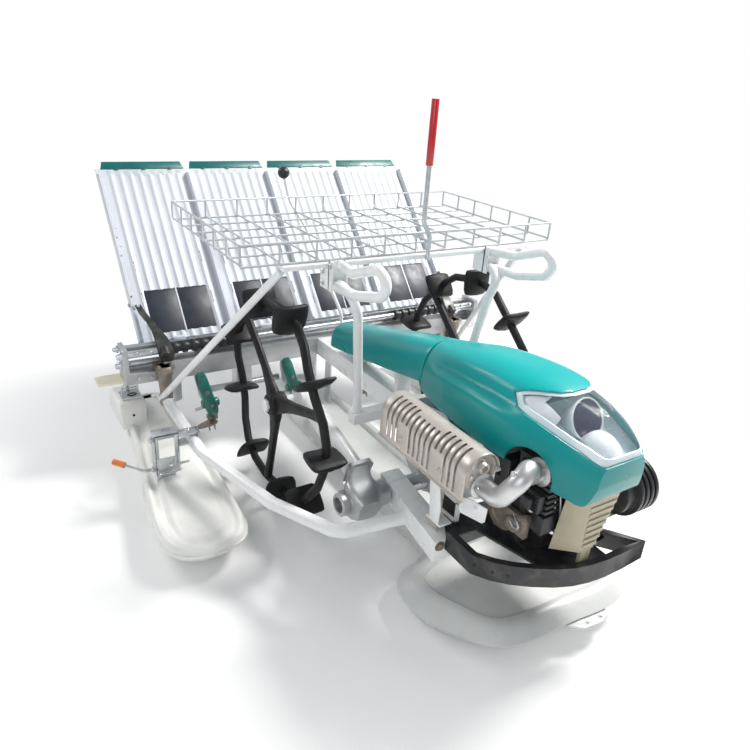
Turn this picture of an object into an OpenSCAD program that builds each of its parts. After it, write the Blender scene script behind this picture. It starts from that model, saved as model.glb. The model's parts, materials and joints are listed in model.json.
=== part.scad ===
// Walk-behind rice transplanter with four rows.
// X runs forward to the engine, Y to the machine's left, Z up from the ground.
// Points are given from the wheel axle's plane; axle_x carries them to the origin.

/* [Layout] */
// Reach of the hood's nose in front of the wheel axle
front_reach = 886; // [882:1:895]
// Reach of the hand grips behind the wheel axle
rear_reach = 1395; // [1385:1:1410]
// Distance between neighbouring planted rows
row_pitch = 300; // [296:1:302]
// Running clearance between pieces that move or are fitted together
fit_gap = 0.5; // [0.3:0.1:1]

/* [Wheels] */
// Radius of a drive wheel over its lug tips
wheel_r = 330; // [324:1:332]
// Height of the lug tips above the ground with the floats down
wheel_lift = 3; // [2:1:8]
// Distance between the two wheels' middle planes
wheel_track = 686; // [682:1:696]
// Radius of the rim bar's middle circle
rim_r = 290; // [284:1:294]
// Diameter of the rim bar
rim_d = 24; // [20:1:26]
// Number of lugs round a wheel
lug_n = 9; // [8:1:10]
// Width of a lug across the wheel
lug_w = 98; // [90:1:100]
// Height of a lug along the radius
lug_h = 84; // [78:1:88]
// Thickness of a lug at its outer edges
lug_t = 30; // [24:1:34]
// Sideways step of every other lug
lug_step = 5; // [2:1:7]
// Thickness of a spoke across the wheel
spoke_t = 16; // [12:1:20]
// Diameter of the hub
hub_d = 64; // [58:1:70]
// Length of the hub
hub_len = 54; // [48:1:60]
// Diameter of the wheel spindle
spindle_d = 24; // [20:1:28]

/* [Swing arms] */
// Swing pivot's distance in front of the wheel axle
pivot_dx = 380; // [374:1:386]
// Height of the swing pivot
pivot_z = 230; // [224:1:236]
// Distance of a swing arm's tube from the middle plane
arm_y = 250; // [247:1:251]
// Diameter of a swing arm's tube
arm_d = 58; // [52:1:60]
// Diameter of the pivot tube that both arms turn on
pivot_d = 48; // [44:1:52]
// Length of the snout on a swing casting
snout_len = 40; // [34:1:46]
// Diameter of the bore in the snout
snout_bore = 26; // [22:1:30]

/* [Frame] */
// Side of the main pipe between the gearbox and the planting drive
main_pipe = 60; // [54:1:64]
// Width of the gearbox
gearbox_w = 156; // [150:1:164]
// Width of an engine beam
beam_w = 56; // [52:1:60]
// Height of an engine beam
beam_h = 56; // [52:1:62]
// Height of the bumper's bow
bumper_h = 50; // [46:1:54]
// Thickness of the bumper's sheet
bumper_t = 5; // [4:1:6]
// Width of the bumper's upper flange
bumper_flange = 16; // [12:1:20]
// Diameter of a side tube
side_tube_d = 34; // [30:1:36]
// Diameter of a rack strut
strut_d = 20; // [16:1:22]

/* [Engine] */
// Diameter of the muffler
muffler_d = 78; // [72:1:82]
// Length of the muffler
muffler_len = 290; // [280:1:296]
// Thickness of the slotted muffler guard
guard_t = 3; // [2:1:4]
// Depth of the guard's flat side below the muffler's axis
guard_side = 58; // [52:1:62]
// Distance between neighbouring guard slots
slot_pitch = 18; // [17:1:20]
// Diameter of the exhaust elbow
elbow_d = 42; // [38:1:45]
// Diameter of the air cleaner drum
cleaner_d = 134; // [126:1:140]
// Length of the air cleaner drum
cleaner_len = 72; // [68:1:78]

/* [Hood] */
// Thickness of the hood's shell
hood_wall = 4; // [3:1:5]
// Radius of the arch that clears the exhaust elbow
arch_r = 58; // [54:1:62]

/* [Floats] */
// Thickness of the floats' edges
float_t = 62; // [58:1:66]
// Height of the floats' decks at the bow
float_top = 100; // [96:1:104]
// Half width of the middle float's bow
bow_half = 258; // [252:1:264]
// Half width of the middle float's tail
tail_half = 112; // [104:1:116]
// Width of a side float
side_float_w = 226; // [220:1:230]
// Distance of a side float's middle line from the middle plane
side_float_y = 588; // [586:1:592]

/* [Seedling tray] */
// Slope of the tray from the ground
tray_slope = 47.5; // [46:0.5:49]
// Length of the tray along its slope
tray_len = 632; // [622:1:642]
// Thickness of the tray's floor
tray_t = 6; // [5:1:8]
// Height of the walls between the lanes
lane_wall = 26; // [22:1:30]
// Ribs on the floor of one lane
rib_n = 8; // [7:1:9]
// Width of a lane's belt window
window_w = 206; // [196:1:214]
// Length of a belt window along the slope
window_len = 150; // [142:1:158]
// Travel of the tray to each side
tray_travel = 135; // [130:1:140]

/* [Planting gear] */
// Half length of the planting beam
plant_beam_half = 560; // [552:1:568]
// Reach of an end bracket past the planting beam
bracket_reach = 117; // [110:1:122]
// Diameter of the feed screw
screw_d = 18; // [16:1:20]
// Outer diameter of the screw's bellows
bellows_d = 38; // [34:1:42]
// Height of the planting beam
plant_beam_h = 62; // [58:1:66]

/* [Seedling rack] */
// Height of the rack's wire floor
rack_z = 782; // [778:1:788]
// Half width of the rack
rack_half = 492; // [486:1:498]
// Length of the rack
rack_len = 533; // [520:1:545]
// Height of the rack's rim
rim_h = 46; // [42:1:50]
// Diameter of a rack wire
wire_d = 6; // [5:1:7]
// Diameter of the posts and the front loops
post_d = 25; // [22:1:28]
// Height of the middle pole's tip
pole_top = 1157; // [1150:1:1165]

/* [Handles] */
// Diameter of the handlebar tube
bar_d = 28; // [25:1:30]
// Distance of a grip from the middle plane
grip_y = 290; // [284:1:296]
// Height of the grips
grip_z = 752; // [746:1:756]
// Length of a grip
grip_len = 130; // [120:1:140]
// Diameter of a grip
grip_d = 36; // [34:1:38]

/* [Hidden] */
axle_x = (rear_reach - front_reach) / 2;
hub_z = wheel_r + wheel_lift;
wheel_y = wheel_track / 2;
pivot = [pivot_dx, 0, pivot_z];
beam_top = pivot_z + 24;
skid_t = 6;
muffler_at = [424, -214, 488];
cleaner_at = [800, 118, 404];
post_foot_z = 357;
plant_beam_x = -405;
plant_beam_z = 291;
plant_beam_d = 50;
rail_half = plant_beam_half + bracket_reach;
corner_post = [-380, -plant_beam_half + 28];
hanger = [-420, -plant_beam_half - 40];
hanger_d = 14;
screw_at = [-378, 0, 386];
rail_t = 8;
rail_z = 374;
bracket_t = 14;
casing_w = 50;
arm_w = 36;
crank = [-376, 222];
deck_z = 78;
tray_foot = [-463, 0, 379];
support_d = 24;
support_reach = 432;
wire_floor = rack_z - 1.5 * wire_d + 1;

module from_axle() translate([axle_x, 0, 0]) children();

module both_sides() {
    children();
    mirror([0, 1, 0]) children();
}

// A round bar from a to b
module bar(a, b, d, fn = 24) {
    v = b - a;
    l = norm(v);
    translate(a) rotate([0, acos(v.z / l), atan2(v.y, v.x)]) cylinder(h = l, d = d, $fn = fn);
}

// A box between two corners
module block(a, b) translate(a) cube(b - a);

function unit(v) = v / norm(v);

// The corner q between p and r, rounded to the bend radius br in n steps
function bend(p, q, r, br, n) =
    let (u = unit(p - q), w = unit(r - q))
    let (half = acos(u * w) / 2)
    let (c = q + unit(u + w) * br / sin(half))
    let (e = unit(q + u * br / tan(half) - c), f = unit(q + w * br / tan(half) - c))
    let (turn = 180 - 2 * half)
    [for (i = [0:n]) c + br * (e * sin(turn * (1 - i / n)) + f * sin(turn * i / n)) / sin(turn)];

function route(p, br, n) = [
    p[0],
    for (i = [1:1:len(p) - 2]) each bend(p[i - 1], p[i], p[i + 1], br, n),
    p[len(p) - 1]
];

// A skin over rings that have as many points each
module skin(rings) {
    m = len(rings);
    s = len(rings[0]);
    polyhedron(
        points = [for (r = rings) each r],
        faces = concat(
            [[for (k = [0:s - 1]) k]],
            [for (i = [0:m - 2], k = [0:s - 1])
                [(i + 1) * s + k, (i + 1) * s + (k + 1) % s, i * s + (k + 1) % s, i * s + k]],
            [[for (k = [s - 1:-1:0]) (m - 1) * s + k]]),
        convexity = 6);
}

// A bent tube through the corners p; side is never parallel to the tube
module tube(p, d, br = 60, side = [0, 0, 1], n = 4, s = 12) {
    path = route(p, br, n);
    m = len(path);
    skin([for (i = [0:m - 1])
        let (t = unit(path[min(i + 1, m - 1)] - path[max(i - 1, 0)]))
        let (a = unit(cross(side, t)))
        let (b = cross(t, a))
        [for (k = [0:s - 1]) path[i] + (a * cos(360 * k / s) + b * sin(360 * k / s)) * d / 2]]);
}

/* Wheels */

// A paddle lug, thick at its outer edges and waisted at the rim
module lug() {
    outline = [
        [-lug_t / 2, lug_w / 2], [-lug_t / 6, lug_w / 2], [lug_t / 2, lug_w / 4],
        [lug_t / 2, -lug_w / 4], [-lug_t / 6, -lug_w / 2], [-lug_t / 2, -lug_w / 2],
        [-lug_t / 5, 0]
    ];
    translate([0, 0, wheel_r - lug_h - 1.5])
        intersection() {
            linear_extrude(lug_h) polygon(outline);
            translate([0, 0, lug_h / 2]) rotate([0, 90, 0]) cylinder(d = lug_w * 1.06, h = 2 * lug_t, center = true, $fn = 48);
        }
}

module wheel_shape(phase) {
    // rim
    rotate([90, 0, 0]) rotate_extrude($fn = 96) translate([rim_r, 0]) circle(d = rim_d, $fn = 8);
    // spokes, wider at the hub
    for (i = [0:2]) rotate([0, 120 * i + 102, 0])
        rotate([90, 0, 0]) linear_extrude(spoke_t, center = true)
            polygon([
                [0, -8], [0.5 * hub_d, -24], [1.4 * hub_d, -17], [rim_r, -12],
                [rim_r, 12], [1.4 * hub_d, 17], [0.5 * hub_d, 24], [0, 8]
            ]);
    // lugs
    for (i = [0:lug_n - 1]) rotate([0, 360 * i / lug_n + phase, 0])
        translate([0, (i % 2 == 0 ? 1 : -1) * lug_step, 0]) lug();
}

module wheel(phase) {
    translate([0, 0, hub_z]) difference() {
        union() {
            wheel_shape(phase);
            rotate([90, 0, 0]) cylinder(d = hub_d, h = hub_len, center = true, $fn = 48);
        }
        rotate([90, 0, 0]) cylinder(d = spindle_d + 0.1, h = hub_len + 2, center = true, $fn = 48);
    }
}

module wheel_right() color("#1c1c1e") from_axle() translate([0, -wheel_y, 0]) wheel(15);
module wheel_left() color("#1c1c1e") from_axle() translate([0, wheel_y, 0]) wheel(0);

/* Swing arms */

arm_front = pivot + [-34, -arm_y, 9];
arm_rear = [0, -arm_y, hub_z];

// The right arm: a tube from the casting to the spindle's housing, and the spindle
module swing_arm() {
    inner = -arm_y - arm_d / 2 + 2;
    outer = -wheel_y - hub_len / 2;
    bar(arm_front, arm_rear, arm_d, 48);
    translate(arm_rear) rotate([90, 0, 0]) cylinder(d = arm_d + 14, h = arm_d - 4, center = true, $fn = 48);
    translate([0, outer - 8, hub_z]) rotate([-90, 0, 0]) cylinder(d = spindle_d, h = inner - outer + 8, $fn = 48);
    translate([0, -wheel_y + hub_len / 2 + fit_gap, hub_z]) rotate([-90, 0, 0])
        cylinder(d = spindle_d + 10, h = inner + wheel_y - hub_len / 2 - fit_gap, $fn = 48);
    translate([0, outer - fit_gap - 9, hub_z]) rotate([-90, 0, 0]) cylinder(d = spindle_d + 14, h = 9, $fn = 6);
}

module swing_arm_right() color("#eef0f0") from_axle() swing_arm();
module swing_arm_left() color("#eef0f0") from_axle() mirror([0, 1, 0]) swing_arm();

// The right casting on the pivot tube, with its snout and flange
module swing_casting() {
    inner = -arm_y + arm_d / 2 - 4;
    outer = -arm_y - arm_d / 2 - 26;
    difference() {
        union() {
            translate(pivot) rotate([90, 0, 0]) {
                translate([0, 0, -inner]) cylinder(d = 92, h = inner - outer, $fn = 48);
                translate([0, 0, -outer]) cylinder(d = 50, h = snout_len, $fn = 48);
                for (i = [0:2]) translate([0, 0, -outer + 6 + 11 * i]) cylinder(d = 58, h = 5, $fn = 48);
                translate([0, 0, -outer - 24]) cylinder(d = 102, h = 8, $fn = 48);
            }
            bar(pivot + [0, -arm_y, 0], arm_front + 0.05 * (arm_rear - arm_front), arm_d + 18, 48);
        }
        bar(arm_front, arm_rear, arm_d + 0.02, 48);
        translate(pivot + [0, outer - snout_len - 1, 0]) rotate([-90, 0, 0])
            cylinder(d = snout_bore, h = snout_len + 14, $fn = 48);
        translate(pivot + [0, inner - 24, 0]) rotate([-90, 0, 0]) cylinder(d = pivot_d + 0.1, h = 40, $fn = 64);
    }
}

module swing_casting_right() color("#b9bdc0") from_axle() swing_casting();
module swing_casting_left() color("#b9bdc0") from_axle() mirror([0, 1, 0]) swing_casting();

/* Frame */

module gearbox() color("#a9adb0") from_axle() {
    w = gearbox_w / 2;
    difference() {
        union() {
            rotate([90, 0, 0]) linear_extrude(gearbox_w, center = true)
                polygon([
                    [250, 262], [330, 195], [440, 195], [490, 220], [500, 300],
                    [490, 420], [420, 448], [300, 430], [250, 390]
                ]);
            for (y = [-w, w]) translate([pivot_dx, y, pivot_z]) rotate([90, 0, 0])
                cylinder(d = 66, h = 24, center = true, $fn = 48);
            for (x = [290, 400, 470]) translate([x, 0, 340]) cube([8, gearbox_w + 12, 130], center = true);
        }
        translate(pivot) rotate([90, 0, 0]) cylinder(d = pivot_d + 0.02, h = gearbox_w + 60, center = true, $fn = 64);
    }
}

module pivot_tube() color("#c9ccce") from_axle()
    translate(pivot) rotate([90, 0, 0])
        cylinder(d = pivot_d, h = 2 * (arm_y - arm_d / 2 + 4 + 22), center = true, $fn = 64);

module main_pipe() color("#eceeee") from_axle() {
    rear = plant_beam_x + plant_beam_d;
    hull() {
        translate([249, 0, 330]) cube([2, main_pipe, main_pipe], center = true);
        translate([rear + 1, 0, plant_beam_z + plant_beam_h / 2]) cube([2, main_pipe, main_pipe], center = true);
    }
    // bridge that carries the rack's posts
    block([164, -200, post_foot_z - 30], [196, 200, post_foot_z]);
    // stays of the tail cover
    for (x = [-120, 120]) {
        block([x, -24, 340], [x + 16, 24, 440 + x / 4]);
        intersection() {
            hood_inner(tail_rows, tail_k, hood_wall + 0.2);
            block([x, -80, 420 + x / 4], [x + 16, 80, 462 + x / 4]);
        }
    }
}

module beam_shape() {
    hull() {
        translate([pivot_dx - 45, -166, beam_top - beam_h / 2]) cube([2, beam_w, beam_h], center = true);
        translate([628, -206, beam_top - beam_h / 2]) cube([2, beam_w, beam_h], center = true);
    }
}

module engine_beams() color("#e9ebeb") from_axle() {
    both_sides() difference() {
        beam_shape();
        translate(pivot + [0, -170, 0]) rotate([90, 0, 0]) cylinder(d = pivot_d + 0.02, h = 120, center = true, $fn = 64);
    }
    translate([600, 0, beam_top - 44]) cube([50, 2 * 190, 8], center = true);
}

// The bumper's outer line, from the right beam's end round the bow to the left side of the deck
bow_line = [
    [631, -206], [722, -206], [760, -181], [790, -151], [816, -115], [841, -72], [858, -30],
    [867, 12], [871, 60], [871, 112], [867, 186], [802, 141], [774, 118]
];

// The line p moved to its left by d
function beside(p, d) = [for (i = [0:len(p) - 1])
    let (t = unit(p[min(i + 1, len(p) - 1)] - p[max(i - 1, 0)]))
    p[i] + d * [-t.y, t.x]];
function turned(p) = [for (i = [len(p) - 1:-1:0]) p[i]];

// A strip of the height h along the bumper's line
module bow_strip(d, h) linear_extrude(h) polygon(concat(bow_line, turned(beside(bow_line, d))));

module bumper() color("#26282a") from_axle() {
    translate([0, 0, beam_top - 26]) bow_strip(bumper_t, bumper_h);
    translate([0, 0, beam_top + bumper_h - 26 - bumper_t]) bow_strip(bumper_flange, bumper_t);
    // deck under the engine, open beside the bow
    translate([0, 0, beam_top]) linear_extrude(skid_t) polygon([
        [560, -188], [592, -180], [626, -200], [634, -202], [640, -122], [786, -84], [836, -76],
        [856, -28], [866, 12], [869, 60], [866, 84], [806, 86], [798, 134], [772, 114],
        [640, 122], [592, 180], [560, 188]
    ]);
}

/* Engine */

module engine() color("#2b2c2e") from_axle() {
    base = beam_top + skid_t;
    block([630, -84, base + 12], [732, 84, 400]);
    block([614, -78, base], [752, 78, base + 12]);
    block([720, -46, base + 12], [768, 64, 345]);
    block([700, -98, 345], [796, 95, 400]);
    // cover on the crankcase
    translate([680, -96, 330]) rotate([-90, 0, 0]) cylinder(d = 92, h = 14, $fn = 48);
    // cylinder and head, leaning forward
    for (i = [0:6]) block([690 + 4 * i, -100, 400 + 14 * i], [802, 60, 407 + 14 * i]);
    block([700, -90, 398], [796, 50, 500]);
    // fan housing that carries the cleaner
    translate([cleaner_at.x, cleaner_at.y - 24, cleaner_at.z]) rotate([-90, 0, 0]) cylinder(d = 110, h = 24, $fn = 48);
    block([740, 76, 350], [826, 110, 450]);
    // stay of the hood
    block([646, -30, 395], [662, 30, 545]);
    intersection() {
        hood_inner(hood_rows, hood_k, hood_wall + fit_gap);
        block([646, -200, 530], [662, 200, 542]);
    }
}

// A cylinder along the muffler's axis from the distance x0, thicker or thinner by more
module on_muffler(x0, more, h) translate(muffler_at + [x0, 0, 0]) rotate([0, 90, 0])
    cylinder(d = muffler_d + more, h = h, $fn = 64);

// The outlet pipe in the muffler's front end
module outlet(d) translate(muffler_at + [muffler_len - 2, -6, 19]) rotate([0, 90, 0]) cylinder(d = d, h = 22, $fn = 32);

module muffler() color("#a39a8c") from_axle() {
    on_muffler(0, 0, muffler_len);
    difference() {
        outlet(22);
        translate([12, 0, 0]) outlet(14);
    }
    // stay to the engine beam
    difference() {
        translate([0, muffler_at.y + 13, 0]) rotate([90, 0, 0]) linear_extrude(7)
            polygon([[566, beam_top], [596, beam_top], [606, 460], [560, 460]]);
        on_muffler(0, -1, muffler_len);
    }
}

// Slots of the guard from its rear end: first of a group, how many, lower end, inner end
slot_rows = [[0, 3, -30, -10], [3, 2, 10, -10], [5, 5, -30, -26], [10, 2, 10, -10], [12, 3, -30, -10]];
module muffler_guard() color("#b8b0a2") from_axle() {
    r = muffler_d / 2 + 4 + guard_t;
    reach = muffler_len + 22;
    translate(muffler_at + [-14, 0, 0]) difference() {
        union() {
            rotate([0, 90, 0]) cylinder(r = r, h = reach, $fn = 64);
            block([0, -r, -guard_side], [reach, 0, 0]);
        }
        translate([-1, 0, 0]) rotate([0, 90, 0]) cylinder(r = r - guard_t, h = reach - 1, $fn = 64);
        block([-1, -r + guard_t, -guard_side - 1], [reach - 2, r, 0]);
        block([-1, -r + guard_t, -guard_side - 1], [reach + 1, r + 1, -8]);
        translate(-muffler_at + [14, 0, 0]) outlet(24);
        for (g = slot_rows, i = [0:g[1] - 1]) let (x = 24 + slot_pitch * (g[0] + i))
            block([x, -r - 1, g[2]], [x + 7, g[3], r + 1]);
    }
    // flange along the lower edge
    translate(muffler_at + [-14, -r - 7, -guard_side]) cube([reach, 8, guard_t]);
}

module exhaust_elbow() color("#b4b6b6") from_axle() tube([
    muffler_at + [muffler_len + 0.3, 6, -32], muffler_at + [muffler_len + 56, 6, -32],
    [800, -190, 510], [788, -156, 526], [768, -134, 488], [768, -100.3, 488]
], elbow_d, 24, [0.2, 0.1, 1], 4, 16);

module air_cleaner() color("#1b1c1e") from_axle() translate(cleaner_at) rotate([-90, 0, 0]) {
    cylinder(d = cleaner_d - 16, h = cleaner_len, $fn = 64);
    for (i = [0:3]) translate([0, 0, 6 + 16 * i]) cylinder(d = cleaner_d, h = 9, $fn = 64);
}

// A level section of the grille, g inside its outer face
module grille_section(z, back, front, half, g) translate([0, 0, z]) linear_extrude(0.1)
    polygon([[back, -70 + g], [front - g, -half + g], [front - g, half - g], [back, 70 - g]]);

// The panel in front of the engine: narrow at its foot, ribbed across its front
module grille_shape(g) hull() {
    grille_section(308, 806, 848, 20, g);
    grille_section(461.4, 824, 864, 46, g);
}

module grille_panel() color("#b5ad98") from_axle() {
    difference() {
        grille_shape(0);
        translate([0, 0, -2]) grille_shape(4);
    }
    // ribs across the front
    for (i = [0:6]) let (z = 322 + 18 * i, x = 848 + (z - 308) / 10, y = 18 + (z - 308) / 6)
        block([x - 2, -y, z], [x + 4, y, z + 8]);
    // foot on the deck
    block([836, -10, beam_top + skid_t], [845, 20, 326]);
}

/* Hood */

// Squareness of the hood's and the tail cover's sections
hood_k = 2.6;
tail_k = 2.8;

// The hood's sections: x, half width, lower edge, ridge
hood_rows = [
    [316, 80, 470, 594],
    [390, 106, 478, 612],
    [470, 124, 484, 632],
    [560, 134, 487, 646],
    [650, 137, 487, 652],
    [723, 132, 487, 648],
    [780, 120, 478, 638],
    [820, 107, 470, 628],
    [850, 95, 466, 611],
    [862, 88, 462, 602],
    [876, 78, 468, 588],
    [front_reach, 66, 506, 568]
];
// Sections of the hood that are open below; the others close its nose
open_rows = 9;
function arch_ring(x, w, z0, z1, k, n) = [for (i = [0:n])
    let (a = 180 * i / n)
    [x, w * sign(cos(a)) * pow(abs(cos(a)), 2 / k), z0 + (z1 - z0) * pow(sin(a), 2 / k)]];

function hood_ring(r, k) = arch_ring(r[0], r[1], r[2], r[3], k, 24);

// The space under a hood with the first n sections open below, less a gap
module hood_inner(rows, k, gap, n = 99) {
    last = len(rows) - 1;
    skin([for (i = [0:last])
        let (r = rows[i])
        let (back = (i == 0 || i > last - 1 ? gap : 0) * (i == 0 ? 1 : 1.5))
        hood_ring([r[0] - back, r[1] - gap, i < n ? r[2] - 12 : r[2] + gap, r[3] - gap], k)]);
}

module hood_shell(rows, k, n = 99) {
    difference() {
        skin([for (r = rows) hood_ring(r, k)]);
        hood_inner(rows, k, hood_wall, n);
    }
}

// The lens seen from the side, and half of its rear edge seen from above
lens_outline = [
    [600, 720], [600, 668], [650, 626], [680, 598], [734, 593], [786, 583], [839, 569],
    [884, 550], [930, 538], [930, 720]
];
tongue = [[744, 0], [744, 20], [734, 44], [712, 63], [684, 79], [654, 95], [646, 130]];
module lens_zone(grow) intersection() {
    rotate([90, 0, 0]) linear_extrude(400, center = true) offset(delta = grow) polygon(lens_outline);
    linear_extrude(900) offset(delta = grow)
        polygon(concat(tongue, [[960, 130], [960, -130]], [for (i = [6:-1:1]) [tongue[i].x, -tongue[i].y]]));
}

module hood() color("#12a7a0") from_axle() difference() {
    hood_shell(hood_rows, hood_k, open_rows);
    lens_zone(0);
    translate([753, -60, 482]) rotate([90, 0, 0]) cylinder(r = arch_r, h = 100, $fn = 64);
}

module headlight_lens() color("#cfe3ea") from_axle() intersection() {
    hood_shell(hood_rows, hood_k, open_rows);
    lens_zone(-fit_gap);
}

module headlamp() color("#2f3d5c") from_axle() {
    // reflector
    translate([736, 0, 572]) rotate([0, 64, 0]) difference() {
        cylinder(d1 = 56, d2 = 90, h = 46, $fn = 48);
        translate([0, 0, 8]) cylinder(d1 = 44, d2 = 86, h = 46, $fn = 48);
    }
    // tray under the lens, between the hood's sides
    intersection() {
        hood_inner(hood_rows, hood_k, hood_wall + fit_gap, open_rows);
        rotate([90, 0, 0]) linear_extrude(400, center = true)
            polygon([[690, 576], [790, 548], [864, 540], [864, 536], [790, 544], [690, 572]]);
    }
}

tail_rows = [
    [-211, 50, 392, 452],
    [-190, 60, 388, 466],
    [0, 67, 424, 514],
    [160, 73, 456, 556],
    [312, 77, 487, 592]
];
module tail_cover() color("#12a7a0") from_axle() hood_shell(tail_rows, tail_k);

/* Floats */

// Rounded corners of the middle float's bow: x, distance inside its half width
bow_corners = [[560, 60], [775, 88]];
module middle_float() color("#e6e6e0") from_axle() {
    // tow lug
    block([846, -12, 70], [866, 12, 82]);
    difference() {
        union() {
            // tail
            hull() {
                translate([-640, -tail_half + 20, 0]) cube([1120, 2 * tail_half - 40, 10]);
                translate([-660, -tail_half, 30]) cube([1210, 2 * tail_half, 40]);
            }
            // bow
            hull() {
                translate([514, -bow_half + 70, 0]) cube([150, 2 * bow_half - 140, 10]);
                translate([730, 0, float_top - float_t]) cylinder(r = 118, h = float_t - 4, $fn = 32);
                for (c = bow_corners, y = [-1, 1]) translate([c[0], y * (bow_half - c[1]), float_top - float_t])
                    cylinder(r = 60, h = float_t, $fn = 32);
            }
        }
        // sunk deck
        hull() {
            translate([730, 0, float_top - 18]) cylinder(r = 104, h = 40, $fn = 32);
            for (c = bow_corners, y = [-1, 1]) translate([c[0], y * (bow_half - c[1]), float_top - 18])
                cylinder(r = 46, h = 40, $fn = 32);
        }
    }
}

module side_float() translate([0, -side_float_y, 0]) difference() {
    r = side_float_w / 2;
    hull() {
        translate([-640, -32, 0]) cube([690, 120, 8]);
        translate([-700, -52, 30]) cube([10, 166, 58]);
        translate([0, -r - 17, 50]) cube([10, 2 * r + 6, 44]);
        translate([125, -21, 46]) cylinder(r = r, h = 50, $fn = 48);
    }
    hull() {
        translate([-620, -36, deck_z]) cube([100, 134, 40]);
        translate([-100, -r + 1, deck_z]) cube([10, 200, 40]);
        translate([125, -21, deck_z]) cylinder(r = r - 16, h = 40, $fn = 48);
    }
}

module side_float_right() color("#f2f2ee") from_axle() side_float();
module side_float_left() color("#f2f2ee") from_axle() mirror([0, 1, 0]) side_float();

module float_yokes() color("#b7bcbc") from_axle() both_sides() difference() {
    union() {
        block([-180, -612, deck_z], [-90, -606, 196]);
        block([-180, -520, deck_z], [-90, -514, 196]);
        block([-180, -612, 180], [-90, -514, 186]);
        // rear hanger below the end bracket
        translate([hanger.x, hanger.y, deck_z]) cylinder(d = hanger_d, h = 296 - deck_z, $fn = 24);
    }
    tube(side_tube_path, side_tube_d + 2 * fit_gap, 60);
    depth_lever(8 + 2 * fit_gap);
}

module depth_lever(d) tube([[-140, -560, 120], [-140, -690, 120], [-190, -740, 128]], d, 14, [1, 0, 0.2], 3, 8);

module depth_levers() color("#c4c8ca") from_axle() both_sides() depth_lever(8);

module depth_knobs() color("#e07b32") from_axle() both_sides() difference() {
    bar([-184, -734, 127], [-210, -760, 131.2], 18, 24);
    depth_lever(8.6);
}

// What the middle float hangs from, at the gearbox and at the planting beam
module middle_float_mounts() color("#b7bcbc") from_axle() {
    for (y = [-34, 28]) block([372, y, 70], [422, y + 6, 195]);
    for (y = [-34, 28]) block([-400, y, 70], [-360, y + 6, plant_beam_z]);
}

/* Planting frame */

side_tube_path = [
    [482, -200, 216], [456, -386, 214], [268, -472, 204], [-37, -552, 205],
    [corner_post.x + 50, corner_post.y - 30, 226], [corner_post.x, corner_post.y - 13, 240]
];
module side_tubes() color("#eceeee") from_axle() both_sides() difference() {
    tube(side_tube_path, side_tube_d, 60);
    beam_shape();
    translate([corner_post.x, corner_post.y, 200]) cylinder(d = 56 + fit_gap, h = 120, $fn = 48);
}

module planting_beam() color("#b4b8ba") from_axle() {
    block([plant_beam_x, -plant_beam_half, plant_beam_z],
        [plant_beam_x + plant_beam_d, plant_beam_half, plant_beam_z + plant_beam_h]);
    both_sides() translate([corner_post.x, corner_post.y, 212]) cylinder(d = 56, h = plant_beam_z - 211, $fn = 48);
}

module feed_rail() color("#c7cacc") from_axle() {
    half = rail_half - bracket_t;
    block([-484, -half, rail_z - rail_t], [-400, half, rail_z]);
    block([-406, -half, rail_z - rail_t], [-400, half, rail_z + 24]);
    // web on the planting beam
    block([plant_beam_x + 1, -450, plant_beam_z + plant_beam_h], [plant_beam_x + 5, 450, rail_z - rail_t]);
}

module feed_screw() color("#a6aaac") from_axle()
    translate(screw_at) rotate([90, 0, 0]) cylinder(d = screw_d, h = 2 * rail_half + 16, center = true, $fn = 32);

module feed_bellows() color("#161718") from_axle() both_sides()
    translate(screw_at + [0, -300, 0]) rotate([90, 0, 0]) difference() {
        for (i = [0:15]) translate([0, 0, 15 * i]) cylinder(d = (i % 2 == 0 ? bellows_d : bellows_d - 10), h = 15, $fn = 32);
        translate([0, 0, -1]) cylinder(d = screw_d + 0.1, h = 300, $fn = 32);
    }

module end_brackets() color("#aeb2b4") from_axle() both_sides() difference() {
    union() {
        block([-430, -rail_half, 296], [-350, -rail_half + bracket_t, 408]);
        block([-430, -rail_half, 296], [-350, -plant_beam_half, 330]);
    }
    translate(screw_at + [0, -rail_half - 1, 0]) rotate([-90, 0, 0]) cylinder(d = screw_d + 0.1, h = 20, $fn = 32);
}

module rail_end_plates() color("#ece7cf") from_axle() both_sides() difference() {
    block([-452, -rail_half - 73, 286], [-392, -plant_beam_half - 18, 296]);
    translate([hanger.x, hanger.y, 200]) cylinder(d = hanger_d + 2 * fit_gap, h = 200, $fn = 24);
}

module planting_cases() color("#b0b4b6") from_axle() both_sides() {
    hull() {
        block([plant_beam_x, -row_pitch - casing_w / 2, plant_beam_z - 10],
            [plant_beam_x + plant_beam_d, -row_pitch + casing_w / 2, plant_beam_z]);
        translate([crank.x, -row_pitch, crank.y]) rotate([90, 0, 0]) cylinder(d = 60, h = casing_w, center = true, $fn = 32);
    }
    translate([crank.x, -row_pitch, crank.y]) rotate([90, 0, 0])
        cylinder(d = 22, h = row_pitch - arm_w - 2 * fit_gap, center = true, $fn = 32);
}

module planting_arms() color("#0f6e62") from_axle()
    for (l = [-1.5:1.5]) translate([0, l * row_pitch, 0]) {
        hull() {
            translate([-388, 0, 256]) rotate([90, 0, 0]) cylinder(d = 30, h = arm_w, center = true, $fn = 24);
            translate([-330, 0, 170]) rotate([90, 0, 0]) cylinder(d = 50, h = arm_w, center = true, $fn = 24);
        }
        translate([-320, 0, 126]) cube([20, 14, 60], center = true);
    }

module feed_levers() color("#17181a") from_axle() both_sides()
    tube([[-357, -548, 353], [-357, -548, 400], [-420, -556, 424], [-455, -566, 440], [-500, -590, 490]], 14, 12, [0, 1, 0.4], 3, 8);

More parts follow.
